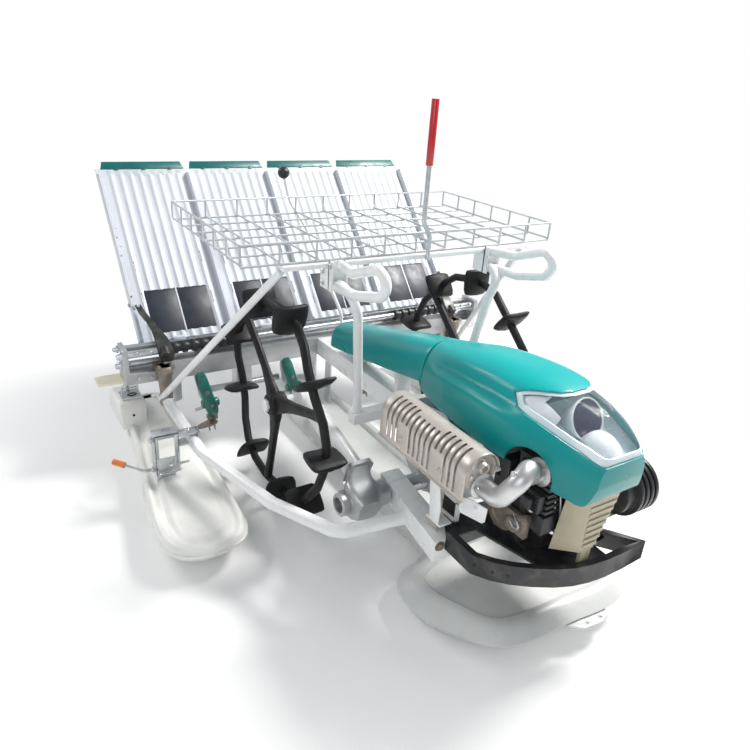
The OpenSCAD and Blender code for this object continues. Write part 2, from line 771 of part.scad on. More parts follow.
module rack_struts() color("#eef0f0") from_axle() both_sides() difference() {
    bar([-352, -578, 232], [128, -389, wire_floor - 16], strut_d, 24);
    tube(side_tube_path, side_tube_d + 2 * fit_gap, 60);
    translate([corner_post.x, corner_post.y, 200]) cylinder(d = 56 + 2 * fit_gap, h = 120, $fn = 48);
    rack_bar_shape();
}

/* Rack */

module wire(a, b) bar(a, b, wire_d, 8);

module seedling_rack() color("#f4f5f5") from_axle() {
    x1 = 130;
    x0 = x1 - rack_len;
    // floor wires along and across
    for (i = [0:10]) let (y = -rack_half + 2 * rack_half * i / 10) wire([x0, y, rack_z], [x1, y, rack_z]);
    for (i = [0:6]) let (x = x0 + rack_len * i / 6) wire([x, -rack_half, rack_z - wire_d + 1], [x, rack_half, rack_z - wire_d + 1]);
    // rim
    for (y = [-rack_half, rack_half]) wire([x0, y, rack_z + rim_h], [x1, y, rack_z + rim_h]);
    for (x = [x0, x1]) wire([x, -rack_half, rack_z + rim_h], [x, rack_half, rack_z + rim_h]);
    for (i = [0:10], x = [x0, x1]) let (y = -rack_half + 2 * rack_half * i / 10) wire([x, y, rack_z], [x, y, rack_z + rim_h]);
    for (i = [0:6], y = [-rack_half, rack_half]) let (x = x0 + rack_len * i / 6) wire([x, y, rack_z], [x, y, rack_z + rim_h]);
}

module rack_bar_shape() block([115, -392, wire_floor - 12], [rack_bar_front, 392, wire_floor]);

module rack_front_bar() color("#f0f1f1") from_axle() rack_bar_shape();

module rack_posts() color("#eef0f0") from_axle() both_sides() {
    // upright hand loop in front of the rack
    tube([
        [156, -240, 768], [246, -258, 773], [350, -256, 812], [398, -254, 790],
        [366, -255, 752], [262, -257, 724], [156, -259, 718]
    ], post_d, 24, [0, 1, 0], 4, 12);
    // post down to the bridge
    tube([[156, -246, 722], [216, -238, 712], [206, -214, 650], [180, -184, 420], [180, -184, post_foot_z]],
        post_d, 50, [1, 0, 0]);
    // bracket under and in front of the rack's bar
    difference() {
        union() {
            block([108, -272, wire_floor - 68], [152, -226, wire_floor - 12]);
            block([rack_bar_front + fit_gap, -272, wire_floor - 68], [rack_bar_front + 19, -226, wire_floor + 6]);
        }
        translate([126, -200, wire_floor - 36]) rotate([90, 0, 0]) cylinder(d = 18, h = 100, $fn = 32);
    }
}

rack_bar_front = 149;
pole_x = rack_bar_front + 6;
module pole_shape(d)
    tube([[pole_x, 24, wire_floor - 14], [pole_x, 24, 822], [pole_x, 0, 862], [pole_x, 0, 1012]], d, 30, [1, 0, 0], 3, 10);

module middle_pole() color("#9aa0a3") from_axle() pole_shape(12);

module pole_grip() color("#c8202c") from_axle() difference() {
    translate([pole_x, 0, 1003]) cylinder(d = 19, h = pole_top - 1003, $fn = 32);
    translate([pole_x, 0, 1000]) cylinder(d = 12.1, h = 12.2, $fn = 32);
}

/* Handles and levers */

handle_path = [
    [plant_beam_x, -120, 322], [-460, -120, 322], [-560, -140, 322], [-690, -210, 372], [-1080, -grip_y, 700],
    [-rear_reach + 9, -grip_y, grip_z]
];
grip_dir = unit([-rear_reach + 9, -grip_y, grip_z] - [-1080, -grip_y, 700]);
grip_end = [-rear_reach + 9, -grip_y, grip_z];
module handlebars() color("#eceeee") from_axle() {
    both_sides() tube(handle_path, bar_d, 100);
    translate([-1000, 0, 632]) rotate([90, 0, 0]) cylinder(d = bar_d, h = 2 * grip_y - 30, center = true, $fn = 24);
}

// Bar and legs behind the tray that carry its upper half
module tray_supports() color("#d9dcdd") from_axle() {
    gap = support_d / 2 + fit_gap;
    x = tray_foot.x - support_reach * cos(tray_slope) - gap * sin(tray_slope);
    z = tray_foot.z + support_reach * sin(tray_slope) - gap * cos(tray_slope);
    translate([x, 0, z]) rotate([90, 0, 0]) cylinder(d = support_d, h = 840, center = true, $fn = 32);
    both_sides() difference() {
        bar([x, -226, z], [x, -226, 430], 22, 24);
        tube(handle_path, bar_d + 2 * fit_gap, 100);
        translate([x - 30, -260, 380]) cube([60, 60, 60]);
    }
}

module hand_grips() color("#191a1b") from_axle() both_sides() difference() {
    bar(grip_end + grip_dir * 6, grip_end - grip_dir * grip_len, grip_d, 32);
    bar(grip_end, grip_end - grip_dir * (grip_len + 1), bar_d + 0.2, 32);
}

module shift_rod() color("#eceeee") from_axle()
    tube([[-353, 60, 353], [-353, 60, 430], [-540, 10, 690], [-600, -30, 780], [-590, -55, 862]], 12, 50, [0, 1, 0], 4, 8);

module shift_knob() color("#141516") from_axle() difference() {
    translate([-589, -57, 874]) sphere(d = 40, $fn = 32);
    bar([-600, -30, 780], [-590, -55, 862.4], 12.6, 24);
}

/* Seedling tray */

module on_tray() from_axle() translate(tray_foot) rotate([0, tray_slope, 0]) children();

tray_half = 2 * row_pitch + 7;
module tray_panel() color("#f2f4f4") {
    on_tray() difference() {
        union() {
            translate([-tray_len, -tray_half, 0]) cube([tray_len, 2 * tray_half, tray_t]);
            for (i = [-2:2]) translate([-tray_len + 20, i * row_pitch - 7, 0])
                cube([tray_len - 20, 14, lane_wall]);
            for (l = [-1.5:1.5], r = [0:rib_n - 1])
                translate([-tray_len + 20, l * row_pitch + (r - (rib_n - 1) / 2) * 32 - 4, 0])
                    cube([tray_len - 30, 8, tray_t + 5]);
        }
        for (l = [-1.5:1.5]) translate([-window_len - 24, l * row_pitch - window_w / 2, -1])
            cube([window_len, window_w, 40]);
    }
    // shoes on the rail
    from_axle() for (y = [-480, -180, 180, 480])
        block([-472, y - 20, rail_z + fit_gap], [-448, y + 20, 390]);
}

module tray_belts() color("#15171b") on_tray()
    for (l = [-1.5:1.5], side = [-1, 1])
        translate([-window_len - 24 + fit_gap, l * row_pitch + side * window_w / 4 - window_w / 4 + fit_gap, -10])
            cube([window_len - 2 * fit_gap, window_w / 2 - 2 * fit_gap, 18]);

module tray_strips() color("#0d5f5e") on_tray()
    for (l = [-1.5:1.5]) translate([-tray_len - 28, l * row_pitch, 2])
        linear_extrude(4) polygon([[0, -132], [28, -140], [28, 140], [0, 132]]);

gearbox();
pivot_tube();
engine();
engine_beams();
bumper();
hood();
tail_cover();
headlight_lens();
headlamp();
grille_panel();
muffler();
muffler_guard();
exhaust_elbow();
air_cleaner();
middle_float();
side_float_right();
side_float_left();
float_yokes();
depth_levers();
depth_knobs();
side_tubes();
rack_struts();
rack_posts();
seedling_rack();
rack_front_bar();
tray_supports();
middle_float_mounts();
middle_pole();
pole_grip();
main_pipe();
planting_beam();
feed_rail();
feed_screw();
feed_bellows();
end_brackets();
rail_end_plates();
planting_cases();
planting_arms();
feed_levers();
handlebars();
hand_grips();
shift_rod();
shift_knob();
tray_panel();
tray_belts();
tray_strips();
swing_arm_right();
swing_arm_left();
swing_casting_right();
swing_casting_left();
wheel_right();
wheel_left();
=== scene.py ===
"""Looks of a walk-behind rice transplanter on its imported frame.
Points are in millimetres from the wheel axle's plane: X forward, Y to the machine's left, Z up."""
import json
import bmesh
import bpy
from math import copysign, cos, exp, pi, radians, sin, tan
from mathutils import Matrix, Vector


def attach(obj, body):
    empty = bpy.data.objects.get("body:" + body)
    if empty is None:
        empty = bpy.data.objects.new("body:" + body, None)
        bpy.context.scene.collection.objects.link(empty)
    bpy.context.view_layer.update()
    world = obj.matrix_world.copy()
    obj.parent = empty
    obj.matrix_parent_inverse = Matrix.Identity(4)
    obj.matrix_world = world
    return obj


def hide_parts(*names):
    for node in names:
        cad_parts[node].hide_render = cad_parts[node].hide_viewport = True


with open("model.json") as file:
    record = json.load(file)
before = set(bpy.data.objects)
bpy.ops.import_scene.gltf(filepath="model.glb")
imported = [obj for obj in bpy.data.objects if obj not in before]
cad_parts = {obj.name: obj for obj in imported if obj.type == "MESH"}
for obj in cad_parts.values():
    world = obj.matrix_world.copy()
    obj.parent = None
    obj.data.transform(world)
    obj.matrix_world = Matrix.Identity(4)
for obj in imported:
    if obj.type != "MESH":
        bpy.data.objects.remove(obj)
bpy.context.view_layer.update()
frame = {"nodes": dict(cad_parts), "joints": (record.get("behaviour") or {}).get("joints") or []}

NODES = frame["nodes"]
AXLE = next(j for j in frame["joints"] if j["name"] == "wheel_right")["pos_m"][0]
# sizes in mm that several pieces share
HUB_HEIGHT, WHEEL_Y = 333, 343
SWING_X, SWING_Z = 380, 230
PITCH = 300
LANES = (-450, -150, 150, 450)
# an edge that bends by more degrees than this is rounded and stays sharp
SHARP = 38


def pt(p):
    """A point in mm from the axle's plane, in the scene's metres"""
    return Vector((p[0] / 1000 + AXLE, p[1] / 1000, p[2] / 1000))


def soft(v, power):
    """The value raised to a power with its sign kept"""
    return copysign(abs(v) ** power, v)


def round_trip(n, power=1, other=None, start=0):
    """Cosines and sines of n steps round a circle; powers below 1 square it off"""
    turns = [2 * pi * (k + start) / n for k in range(n)]
    return [(soft(cos(t), power), soft(sin(t), other or power)) for t in turns]


def add_object(name, data):
    o = bpy.data.objects.new(name, data)
    bpy.context.scene.collection.objects.link(o)
    return o


def settings(node, values):
    for k, v in values.items():
        node.inputs[k].default_value = v


# materials
def material(name, color, rough=0.5, metal=0.0, vary=0.08, scale=9.0, rough_vary=0.1, bump=0.2,
             bump_scale=300.0, coat=0.0, dust=0.0, dust_color=(0.42, 0.36, 0.28), alpha=1.0,
             painted_shade_below=None, specular=0.5):
    """Mottled colour, uneven roughness and a fine bump. dust is the share of dust in its patches;
    the argument for painted shade below is two heights in metres and the share of the colour that is left
    below them, which darkens the lower part"""
    m = bpy.data.materials.new(name)
    m.use_nodes = True
    n, l = m.node_tree.nodes, m.node_tree.links
    bsdf = n["Principled BSDF"]
    settings(bsdf, {"Metallic": metal, "Coat Weight": coat, "Coat Roughness": 0.08, "Alpha": alpha,
                    "Specular IOR Level": specular})
    where = n.new("ShaderNodeTexCoord")

    def noise(s, detail=4.0, roughness=0.55):
        t = n.new("ShaderNodeTexNoise")
        settings(t, {"Scale": s, "Detail": detail, "Roughness": roughness})
        l.new(where.outputs["Object"], t.inputs["Vector"])
        return t.outputs["Fac"]

    def mix(fac, a, b):
        x = n.new("ShaderNodeMix")
        x.data_type = "RGBA"
        l.new(fac, x.inputs[0])
        for k, v in ((6, a), (7, b)):
            if isinstance(v, tuple):
                x.inputs[k].default_value = (*v, 1)
            else:
                l.new(v, x.inputs[k])
        return x.outputs[2]

    def ranged(v, lo, hi, a=0.3, b=0.7):
        r = n.new("ShaderNodeMapRange")
        settings(r, {"From Min": a, "From Max": b, "To Min": lo, "To Max": hi})
        l.new(v, r.inputs["Value"])
        return r.outputs["Result"]

    dark = tuple(c * (1 - vary) for c in color)
    light = tuple(min(1.0, c * (1 + vary)) for c in color)
    out = mix(ranged(noise(scale), 0, 1), dark, light)
    # painted shade: below the given heights the colour darkens to the given share
    if painted_shade_below:
        low, high, left = painted_shade_below
        split = n.new("ShaderNodeSeparateXYZ")
        l.new(where.outputs["Object"], split.inputs[0])
        out = mix(ranged(split.outputs["Z"], 0, 1, low, high), tuple(c * left for c in color), out)
    if dust:
        out = mix(ranged(noise(scale * 2.3, 8.0, 0.7), 0, dust, 0.5, 0.72), out, dust_color)
    l.new(out, bsdf.inputs["Base Color"])
    worn = ranged(noise(scale * 3.1, 6.0), max(0.02, rough - rough_vary), min(1, rough + rough_vary))
    l.new(worn, bsdf.inputs["Roughness"])
    b = n.new("ShaderNodeBump")
    settings(b, {"Strength": bump, "Distance": 0.001})
    l.new(noise(bump_scale, 3.0), b.inputs["Height"])
    l.new(b.outputs["Normal"], bsdf.inputs["Normal"])
    return m


# painted shade: the teal darkens below 0.5 to 0.64 m, so the hood's lower sides and the tail cover look
# shaded
TEAL_SHADED_BELOW = material("teal_gloss_painted_shade", (0.0, 0.37, 0.37), 0.3, vary=0.02, rough_vary=0.03, bump=0.0, coat=0.12,
                specular=0.35, painted_shade_below=(0.50, 0.64, 0.6))
WHITE = material("white_coat", (0.80, 0.81, 0.81), 0.32, vary=0.04, bump=0.12, bump_scale=420, coat=0.2,
                 dust=0.16)
BLACK = material("black_coat", (0.018, 0.019, 0.021), 0.42, vary=0.25, bump=0.15, dust=0.16)
ALLOY = material("cast_alloy", (0.52, 0.53, 0.54), 0.42, 0.85, vary=0.12, bump=0.5, bump_scale=240, dust=0.2)
ZINC = material("zinc_steel", (0.56, 0.58, 0.60), 0.34, 0.9, vary=0.14, scale=22, bump=0.12, bump_scale=500)
BRUSHED = material("brushed_pipe", (0.60, 0.60, 0.60), 0.38, 0.85, vary=0.12, scale=14, bump=0.15,
                   bump_scale=400)
GUARD = material("guard_paint", (0.53, 0.485, 0.445), 0.34, 0.45, vary=0.1, bump=0.12, dust=0.25)
GRILLE = material("grille_paint", (0.43, 0.39, 0.28), 0.45, 0.1, vary=0.1, bump=0.15, bump_scale=320,
                  dust=0.2)
RUBBER = material("lug_rubber", (0.010, 0.010, 0.011), 0.5, vary=0.3, bump=0.4, bump_scale=220, dust=0.12,
                  dust_color=(0.09, 0.08, 0.065), specular=0.28)
PLASTIC = material("black_plastic", (0.016, 0.017, 0.019), 0.4, vary=0.2, bump=0.3, bump_scale=600)
FLOAT = material("float_plastic", (0.80, 0.80, 0.77), 0.38, vary=0.04, bump_scale=150, dust=0.2,
                 dust_color=(0.55, 0.51, 0.42))
# painted shade: a darker copy of the float plastic for the middle float under the machine
FLOAT_PAINTED_SHADE = material("float_grey", (0.60, 0.61, 0.60), 0.36, vary=0.05, bump_scale=150, dust=0.3,
                dust_color=(0.55, 0.50, 0.40))
TRAY = material("tray_plastic", (0.53, 0.56, 0.61), 0.4, vary=0.07, scale=5.0, bump=0.1, dust=0.12)
BELT = material("belt_rubber", (0.012, 0.016, 0.028), 0.45, vary=0.3, bump=0.3, bump_scale=340)
STRIP = material("strip_plastic", (0.0, 0.105, 0.10), 0.4, vary=0.12, bump=0.15, bump_scale=400)
LENS = material("clear_cover", (0.86, 0.92, 0.95), 0.06, vary=0.02, rough_vary=0.03, bump=0.03,
                bump_scale=50, coat=0.5, alpha=0.04)
HOUSING = material("lamp_housing", (0.80, 0.84, 0.90), 0.2, 0.15, vary=0.14, scale=26, bump=0.1,
                   bump_scale=120, coat=0.5)
BROWN = material("old_casting", (0.24, 0.205, 0.17), 0.5, 0.5, vary=0.3, scale=40, bump=0.5, bump_scale=240,
                 dust=0.3)
NOTCH = material("strip_notch", (0.42, 0.47, 0.46), 0.4, vary=0.1, bump=0.1, bump_scale=200)
PALE = material("pale_border", (0.70, 0.82, 0.86), 0.25, vary=0.06, bump=0.05, bump_scale=90, coat=0.4)
# painted reflection: the lamp's chrome reflector is coloured dark blue for what it reflects and the shade
# inside the lamp
LAMP = material("lamp_bowl_painted_reflection", (0.012, 0.016, 0.055), 0.32, vary=0.35, scale=30, bump_scale=180, specular=0.3)
WIRE = material("rack_wire", (0.50, 0.53, 0.55), 0.3, vary=0.06, bump=0.1, bump_scale=400, coat=0.2)
GREEN = material("planter_paint", (0.0, 0.125, 0.095), 0.38, vary=0.12, bump_scale=260, coat=0.3, dust=0.2)
ORANGE = material("orange_plastic", (0.72, 0.19, 0.045), 0.4)
RED = material("red_sleeve", (0.50, 0.012, 0.02), 0.28, bump=0.08, coat=0.4)
CREAM = material("cream_paint", (0.80, 0.76, 0.58), 0.4, vary=0.05, bump=0.15, dust=0.2)
# painted shade: a near-black colour for discs and panels put in bores, holes and openings where only shade
# shows
PAINTED_SHADE = material("painted_shade_gap", (0.006, 0.006, 0.007), 0.6, vary=0.3, bump_scale=200)

# materials of the construction's nodes that show as they are
OF_NODE = {
    GRILLE: "grille_panel", GUARD: "muffler", BLACK: "engine bumper", ORANGE: "depth_knobs",
    RED: "pole_grip",
    ALLOY: "gearbox planting_beam end_brackets planting_cases", WIRE: "seedling_rack",
    CREAM: "rail_end_plates",
    ZINC: "pivot_tube tray_supports middle_float_mounts feed_rail feed_screw",
    PLASTIC: "air_cleaner shift_knob feed_bellows hand_grips",
    WHITE: "engine_beams rack_struts rack_front_bar main_pipe swing_arm_right swing_arm_left",
}


# mesh helpers
def smoothing():
    """A node group that shades smooth across edges flatter than an angle."""
    g = bpy.data.node_groups.new("smooth_by_angle", "GeometryNodeTree")
    g.interface.new_socket("Geometry", in_out="INPUT", socket_type="NodeSocketGeometry")
    g.interface.new_socket("Angle", in_out="INPUT", socket_type="NodeSocketFloat")
    g.interface.new_socket("Geometry", in_out="OUTPUT", socket_type="NodeSocketGeometry")
    n, l = g.nodes, g.links
    i, o = n.new("NodeGroupInput"), n.new("NodeGroupOutput")
    faces, edges = n.new("GeometryNodeSetShadeSmooth"), n.new("GeometryNodeSetShadeSmooth")
    edges.domain = "EDGE"
    angle, test = n.new("GeometryNodeInputMeshEdgeAngle"), n.new("FunctionNodeCompare")
    test.operation = "LESS_EQUAL"
    l.new(i.outputs[0], faces.inputs["Geometry"])
    l.new(faces.outputs[0], edges.inputs["Geometry"])
    l.new(angle.outputs["Unsigned Angle"], test.inputs[0])
    l.new(i.outputs[1], test.inputs[1])
    l.new(test.outputs[0], edges.inputs["Shade Smooth"])
    l.new(edges.outputs[0], o.inputs[0])
    return g


SMOOTH = smoothing()


def finish_edges(o, bevel=0.0, angle=SHARP, weld=True):
    """Rounds the sharp edges by bevel mm and shades smooth those that bend by less than the angle"""
    if weld:
        w = o.modifiers.new("weld", "WELD")
        w.merge_threshold = 0.00001
    if bevel:
        b = o.modifiers.new("bevel", "BEVEL")
        b.width = bevel / 1000
        b.segments = 2
        b.limit_method = "ANGLE"
        b.angle_limit = radians(SHARP)
    s = o.modifiers.new("smooth", "NODES")
    s.node_group = SMOOTH
    s[SMOOTH.interface.items_tree["Angle"].identifier] = radians(angle)


def dress(o, body, node):
    """Puts a piece on its body and hides the nodes that it stands for"""
    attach(o, body)
    if node:
        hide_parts(*node.split())
    return o


def piece(name, verts, faces, mat, body="chassis", node=None, bevel=0.0, angle=SHARP, slot=None):
    """A piece from its points in metres and its faces"""
    me = bpy.data.meshes.new(name)
    me.from_pydata([tuple(v) for v in verts], [], faces)
    me.update()
    o = add_object(name, me)
    me.materials.append(mat)
    finish_edges(o, bevel, angle, weld=False)
    return dress(o, body, node)


class Shape:
    """Collects vertices and faces of several simple forms into one piece."""

    def __init__(self):
        self.v, self.f = [], []

    def add(self, verts, faces):
        o = len(self.v)
        self.v += [Vector(v) for v in verts]
        self.f += [tuple(o + i for i in f) for f in faces]
        return self

    def mirrored(self):
        """The same form on the machine's other side"""
        return Shape().add([(v.x, -v.y, v.z) for v in self.v], [tuple(reversed(f)) for f in self.f])

    def both(self):
        other = self.mirrored()
        return self.add(other.v, other.f)

    def rings(self, rings, closed=False, caps=True):
        """A skin over rings of equal length, with a face on each end unless it closes on itself"""
        s = len(rings[0])
        f = []
        last = len(rings) - (0 if closed else 1)
        for i in range(last):
            j = (i + 1) % len(rings)
            f += [(i * s + k, i * s + (k + 1) % s, j * s + (k + 1) % s, j * s + k) for k in range(s)]
        if caps and not closed:
            f += [tuple(reversed(range(s))), tuple((len(rings) - 1) * s + k for k in range(s))]
        return self.add([p for r in rings for p in r], f)

    def box(self, a, b):
        lo, hi = pt([min(p, q) for p, q in zip(a, b)]), pt([max(p, q) for p, q in zip(a, b)])
        v = [(x, y, z) for x in (lo.x, hi.x) for y in (lo.y, hi.y) for z in (lo.z, hi.z)]
        sides = [(0, 1, 3, 2), (4, 6, 7, 5), (0, 4, 5, 1), (2, 3, 7, 6), (0, 2, 6, 4), (1, 5, 7, 3)]
        return self.add(v, sides)

    def lathe(self, a, b, profile, n=32, caps=True):
        """profile rows are (share of the way from a to b, radius in mm)"""
        p, q = pt(a), pt(b)
        d = q - p
        aside = Vector((0.13, 0.31, 0.94)) if abs(d.normalized().z) < 0.9 else Vector((1, 0, 0))
        side = d.cross(aside).normalized()
        up = side.cross(d.normalized())
        spokes = [side * c + up * e for c, e in round_trip(n)]
        return self.rings([[p + d * t + s * r / 1000 for s in spokes] for t, r in profile], caps=caps)

    def rod(self, a, b, r, n=20):
        return self.lathe(a, b, [(0, r), (1, r)], n)

    def tube(self, points, d, br, n=8, s=20, closed=False):
        return self.rings(tube_rings(points, d, br, n, s, closed), closed)

    def boxes(self, *rows):
        """Each row is a box's two opposite corners"""
        for r in rows:
            self.box(r[:3], r[3:])
        return self

    def bolt(self, at, along, size=13, height=7, washer=True):
        """A hexagon head with its washer; at is on the surface, along points out of it"""
        d = Vector(along).normalized()
        at = Vector(at)
        if washer:
            self.rod(at - d * 0.5, at + d * 1.6, size * 0.85)
        return self.lathe(at, at + d * height, [(0, size * 0.58), (0.85, size * 0.58), (1, size * 0.48)], 6)

    def make(self, name, mat, **k):
        return piece(name, self.v, self.f, mat, **k)


def bend(p, q, r, br, n):
    """Points of a bend of radius br at q on the way from p to r"""
    u, w = (p - q).normalized(), (r - q).normalized()
    half = u.angle(w) / 2
    c = q + (u + w).normalized() * br / sin(half)
    e = (q + u * br / tan(half) - c).normalized()
    f = (q + w * br / tan(half) - c).normalized()
    turn = pi - 2 * half
    return [c + (e * sin(turn * (1 - i / n)) + f * sin(turn * i / n)) * br / sin(turn)
            for i in range(n + 1)]


def route(points, br, n=8):
    p = [Vector(q) for q in points]
    out = [p[0]]
    for i in range(1, len(p) - 1):
        out += bend(p[i - 1], p[i], p[i + 1], br, n)
    return out + [p[-1]]


def tube_rings(points, d, br, n=8, s=20, closed=False):
    """Rings of s points for a tube of diameter d along the points, with bends of radius br"""
    path = route(points, br, n) if br else [Vector(q) for q in points]
    m = len(path)
    normal = None
    rings = []
    for i in range(m):
        if closed:
            t = (path[(i + 1) % m] - path[i - 1]).normalized()
        else:
            t = (path[min(i + 1, m - 1)] - path[max(i - 1, 0)]).normalized()
        if normal is None:
            normal = t.cross(Vector((0, 0, 1)) if abs(t.z) < 0.9 else Vector((1, 0, 0))).normalized()
        normal = (normal - t * normal.dot(t)).normalized()
        b = t.cross(normal)
        rings.append([pt(path[i] + (normal * c + b * e) * d / 2) for c, e in round_trip(s)])
    return rings


def tubes(name, paths, d, br, mat, both=False, n=8, s=20, **k):
    """A piece from tubes along the paths"""
    sh = Shape()
    for p in paths:
        sh.tube(p, d, br, n, s)
    if both:
        sh.both()
    return sh.make(name, mat, angle=50, **k)


def spline(rows, n):
    """Catmull-Rom through rows of equal length, n steps a span"""
    out = []
    for i in range(len(rows) - 1):
        a, b, c, d = rows[max(i - 1, 0)], rows[i], rows[i + 1], rows[min(i + 2, len(rows) - 1)]
        for k in range(n):
            t = k / n
            out.append([0.5 * (2 * q + (r - p) * t + (2 * p - 5 * q + 4 * r - s) * t * t
                               + (3 * q - p - 3 * r + s) * t ** 3) for p, q, r, s in zip(a, b, c, d)])
    return out + [list(rows[-1])]


def boolean(o, other, operation="DIFFERENCE"):
    """Cuts o with the other solid, or keeps what they share, and removes the other"""
    m = o.modifiers.new("cut", "BOOLEAN")
    m.operation = operation
    m.solver = "EXACT"
    m.object = other
    dg = bpy.context.evaluated_depsgraph_get()
    me = bpy.data.meshes.new_from_object(o.evaluated_get(dg))
    o.modifiers.clear()
    o.data = me
    bpy.data.objects.remove(other)


def solid(form):
    """A closed mesh with its faces turned outwards from a Shape or from rings"""
    sh = form if isinstance(form, Shape) else Shape().rings(form)
    me = bpy.data.meshes.new("solid")
    me.from_pydata([tuple(v) for v in sh.v], [], sh.f)
    bm = bmesh.new()
    bm.from_mesh(me)
    bmesh.ops.recalc_face_normals(bm, faces=bm.faces)
    bm.to_mesh(me)
    bm.free()
    return add_object("solid", me)


def from_solid(name, o, mat, body="chassis", node=None, bevel=0.0, angle=SHARP):
    """A piece from a solid"""
    o.name = name
    o.data.materials.clear()
    o.data.materials.append(mat)
    finish_edges(o, bevel, angle)
    return dress(o, body, node)


BEVEL = {"seedling_rack": 0, "engine": 3, "gearbox": 5, "planting_cases": 4, "feed_screw": 0, "pole_grip": 2}
for mat, names in OF_NODE.items():
    for name in names.split():
        o = NODES[name]
        o.data.materials.clear()
        o.data.materials.append(mat)
        finish_edges(o, BEVEL.get(name, 1.2), 50 if name == "seedling_rack" else SHARP)

# hood, tail cover, lens and lamp: section rows are x, half width, low and high edge, open below or not
HOOD = [
    (316, 80, 470, 594, 1), (390, 106, 478, 612, 1), (470, 124, 484, 632, 1), (560, 134, 487, 646, 1),
    (650, 137, 487, 652, 1), (723, 132, 487, 648, 1), (780, 120, 478, 638, 1), (820, 107, 470, 628, 1),
    (850, 95, 466, 611, 1), (862, 88, 462, 602, 0), (876, 78, 468, 588, 0), (886, 66, 506, 568, 0),
]
TAIL = [(-211, 50, 392, 452, 1), (-190, 60, 388, 466, 1), (0, 67, 424, 514, 1), (160, 73, 456, 556, 1),
        (312, 77, 487, 592, 1)]
LENS_SIDE = [(600, 720), (600, 668), (650, 626), (680, 598), (734, 593), (786, 583), (839, 569), (884, 550),
             (930, 538), (930, 720)]
LENS_PLAN = [(744, 0), (744, 20), (734, 44), (712, 63), (684, 79), (654, 95), (646, 130)]
PAN_SIDE = [(676, 582), (700, 574), (790, 552), (872, 540), (872, 537), (790, 549), (700, 571), (676, 578)]
LAMP_NOSE = [(792, 34, 545, 570, 2.2), (804, 40, 540, 580, 2.2), (826, 42, 538, 580, 2.2),
             (850, 36, 538, 568, 2.2), (868, 22, 538, 552, 2.2)]
LAMP_RIM, LAMP_BACK, LAMP_FRONT = 46, (736, 0, 572), (777, 0, 592)


def step(v, a, b):
    """0 before a, 1 after b and a soft rise between them"""
    t = min(1.0, max(0.0, (v - a) / (b - a)))
    return t * t * (3 - 2 * t)


def arch(x, w, z0, z1, k, inset=0.0, opened=1.0, relief=0.0, n=72):
    """A hood section; relief raises the shoulder's edge and sinks the valley above it"""
    opened = min(1.0, max(0.0, opened))
    low = z0 - 12 * opened + inset * (1 - opened) if inset else z0
    out = []
    for i in range(n + 1):
        a = 180 * i / n
        q = min(a, 180 - a)
        edge = 1 - (q - 25) / 8 if q > 25 else 1 - (25 - q) / 12
        push = relief * (0.55 * max(0.0, edge) - exp(-((q - 41) / 7.5) ** 2))
        c, e = cos(radians(a)), sin(radians(a))
        y = (w - inset) * soft(c, 2 / k)
        z = (z1 - inset - low) * max(e, 0) ** (2 / k)
        out.append(pt((x, y * (1 + push / w), low + z * (1 + push / w))))
    return out


def cover(rows, k, inset, crease=None):
    """Rings through the section rows, drawn in by an inset; a larger k is squarer"""
    rows = [list(r) for r in rows]
    if inset:
        rows[0][0] -= 2 * inset
        rows[-1][0] -= 1.5 * inset
    return [arch(x, w, z0, z1, k, inset, o, crease(x) if crease else 0.0)
            for x, w, z0, z1, o in spline(rows, 6)]


def prism(outline, axis, lo, hi):
    """A solid between two places on the axis y or z, from its outline in x and the other axis"""
    put = (lambda a, b, h: (a, h, b)) if axis == "y" else (lambda a, b, h: (a, b, h))
    return solid(Shape().rings([[pt(put(a, b, h)) for a, b in outline] for h in (lo, hi)]))


def block(a, b):
    return solid(Shape().box(a, b))


def lens_zone(shift=0):
    """What lies inside the lens's outline in side view and in plan"""
    side = prism([(x + shift, z + shift) for x, z in LENS_SIDE], "y", -200, 200)
    top = LENS_PLAN + [(960, 130), (960, -130)] + [(x, -y) for x, y in reversed(LENS_PLAN[1:])]
    boolean(side, prism([(x + shift, y) for x, y in top], "z", 400, 800), "INTERSECT")
    return side


def shoulder(x):
    """How far the hood's shoulder edge stands out, which fades at both ends"""
    return 8.0 * step(x, 318, 440) * (1 - step(x, 640, 735))


def hood_shell(outer, inner):
    """The hood's form between two insets"""
    shell = solid(cover(HOOD, 2.6, outer, crease=shoulder))
    boolean(shell, solid(cover(HOOD, 2.6, inner, crease=shoulder)))
    return shell


def make_hood():
    """The hood with its cuts for the lens and the muffler, the clear lens and its pale border"""
    hood = hood_shell(0, 4)
    boolean(hood, lens_zone())
    boolean(hood, solid(Shape().rod((753, -200, 482), (753, -40, 482), 58, 48)))
    lens = hood_shell(0, 3)
    boolean(lens, lens_zone(), "INTERSECT")
    rim = hood_shell(3.2, 5)
    boolean(rim, lens_zone(), "INTERSECT")
    boolean(rim, lens_zone(9))
    from_solid("hood_skin", hood, TEAL_SHADED_BELOW, node="hood", bevel=1.2)
    from_solid("lens_skin", lens, LENS, node="headlight_lens")
    from_solid("lens_border", rim, PALE)


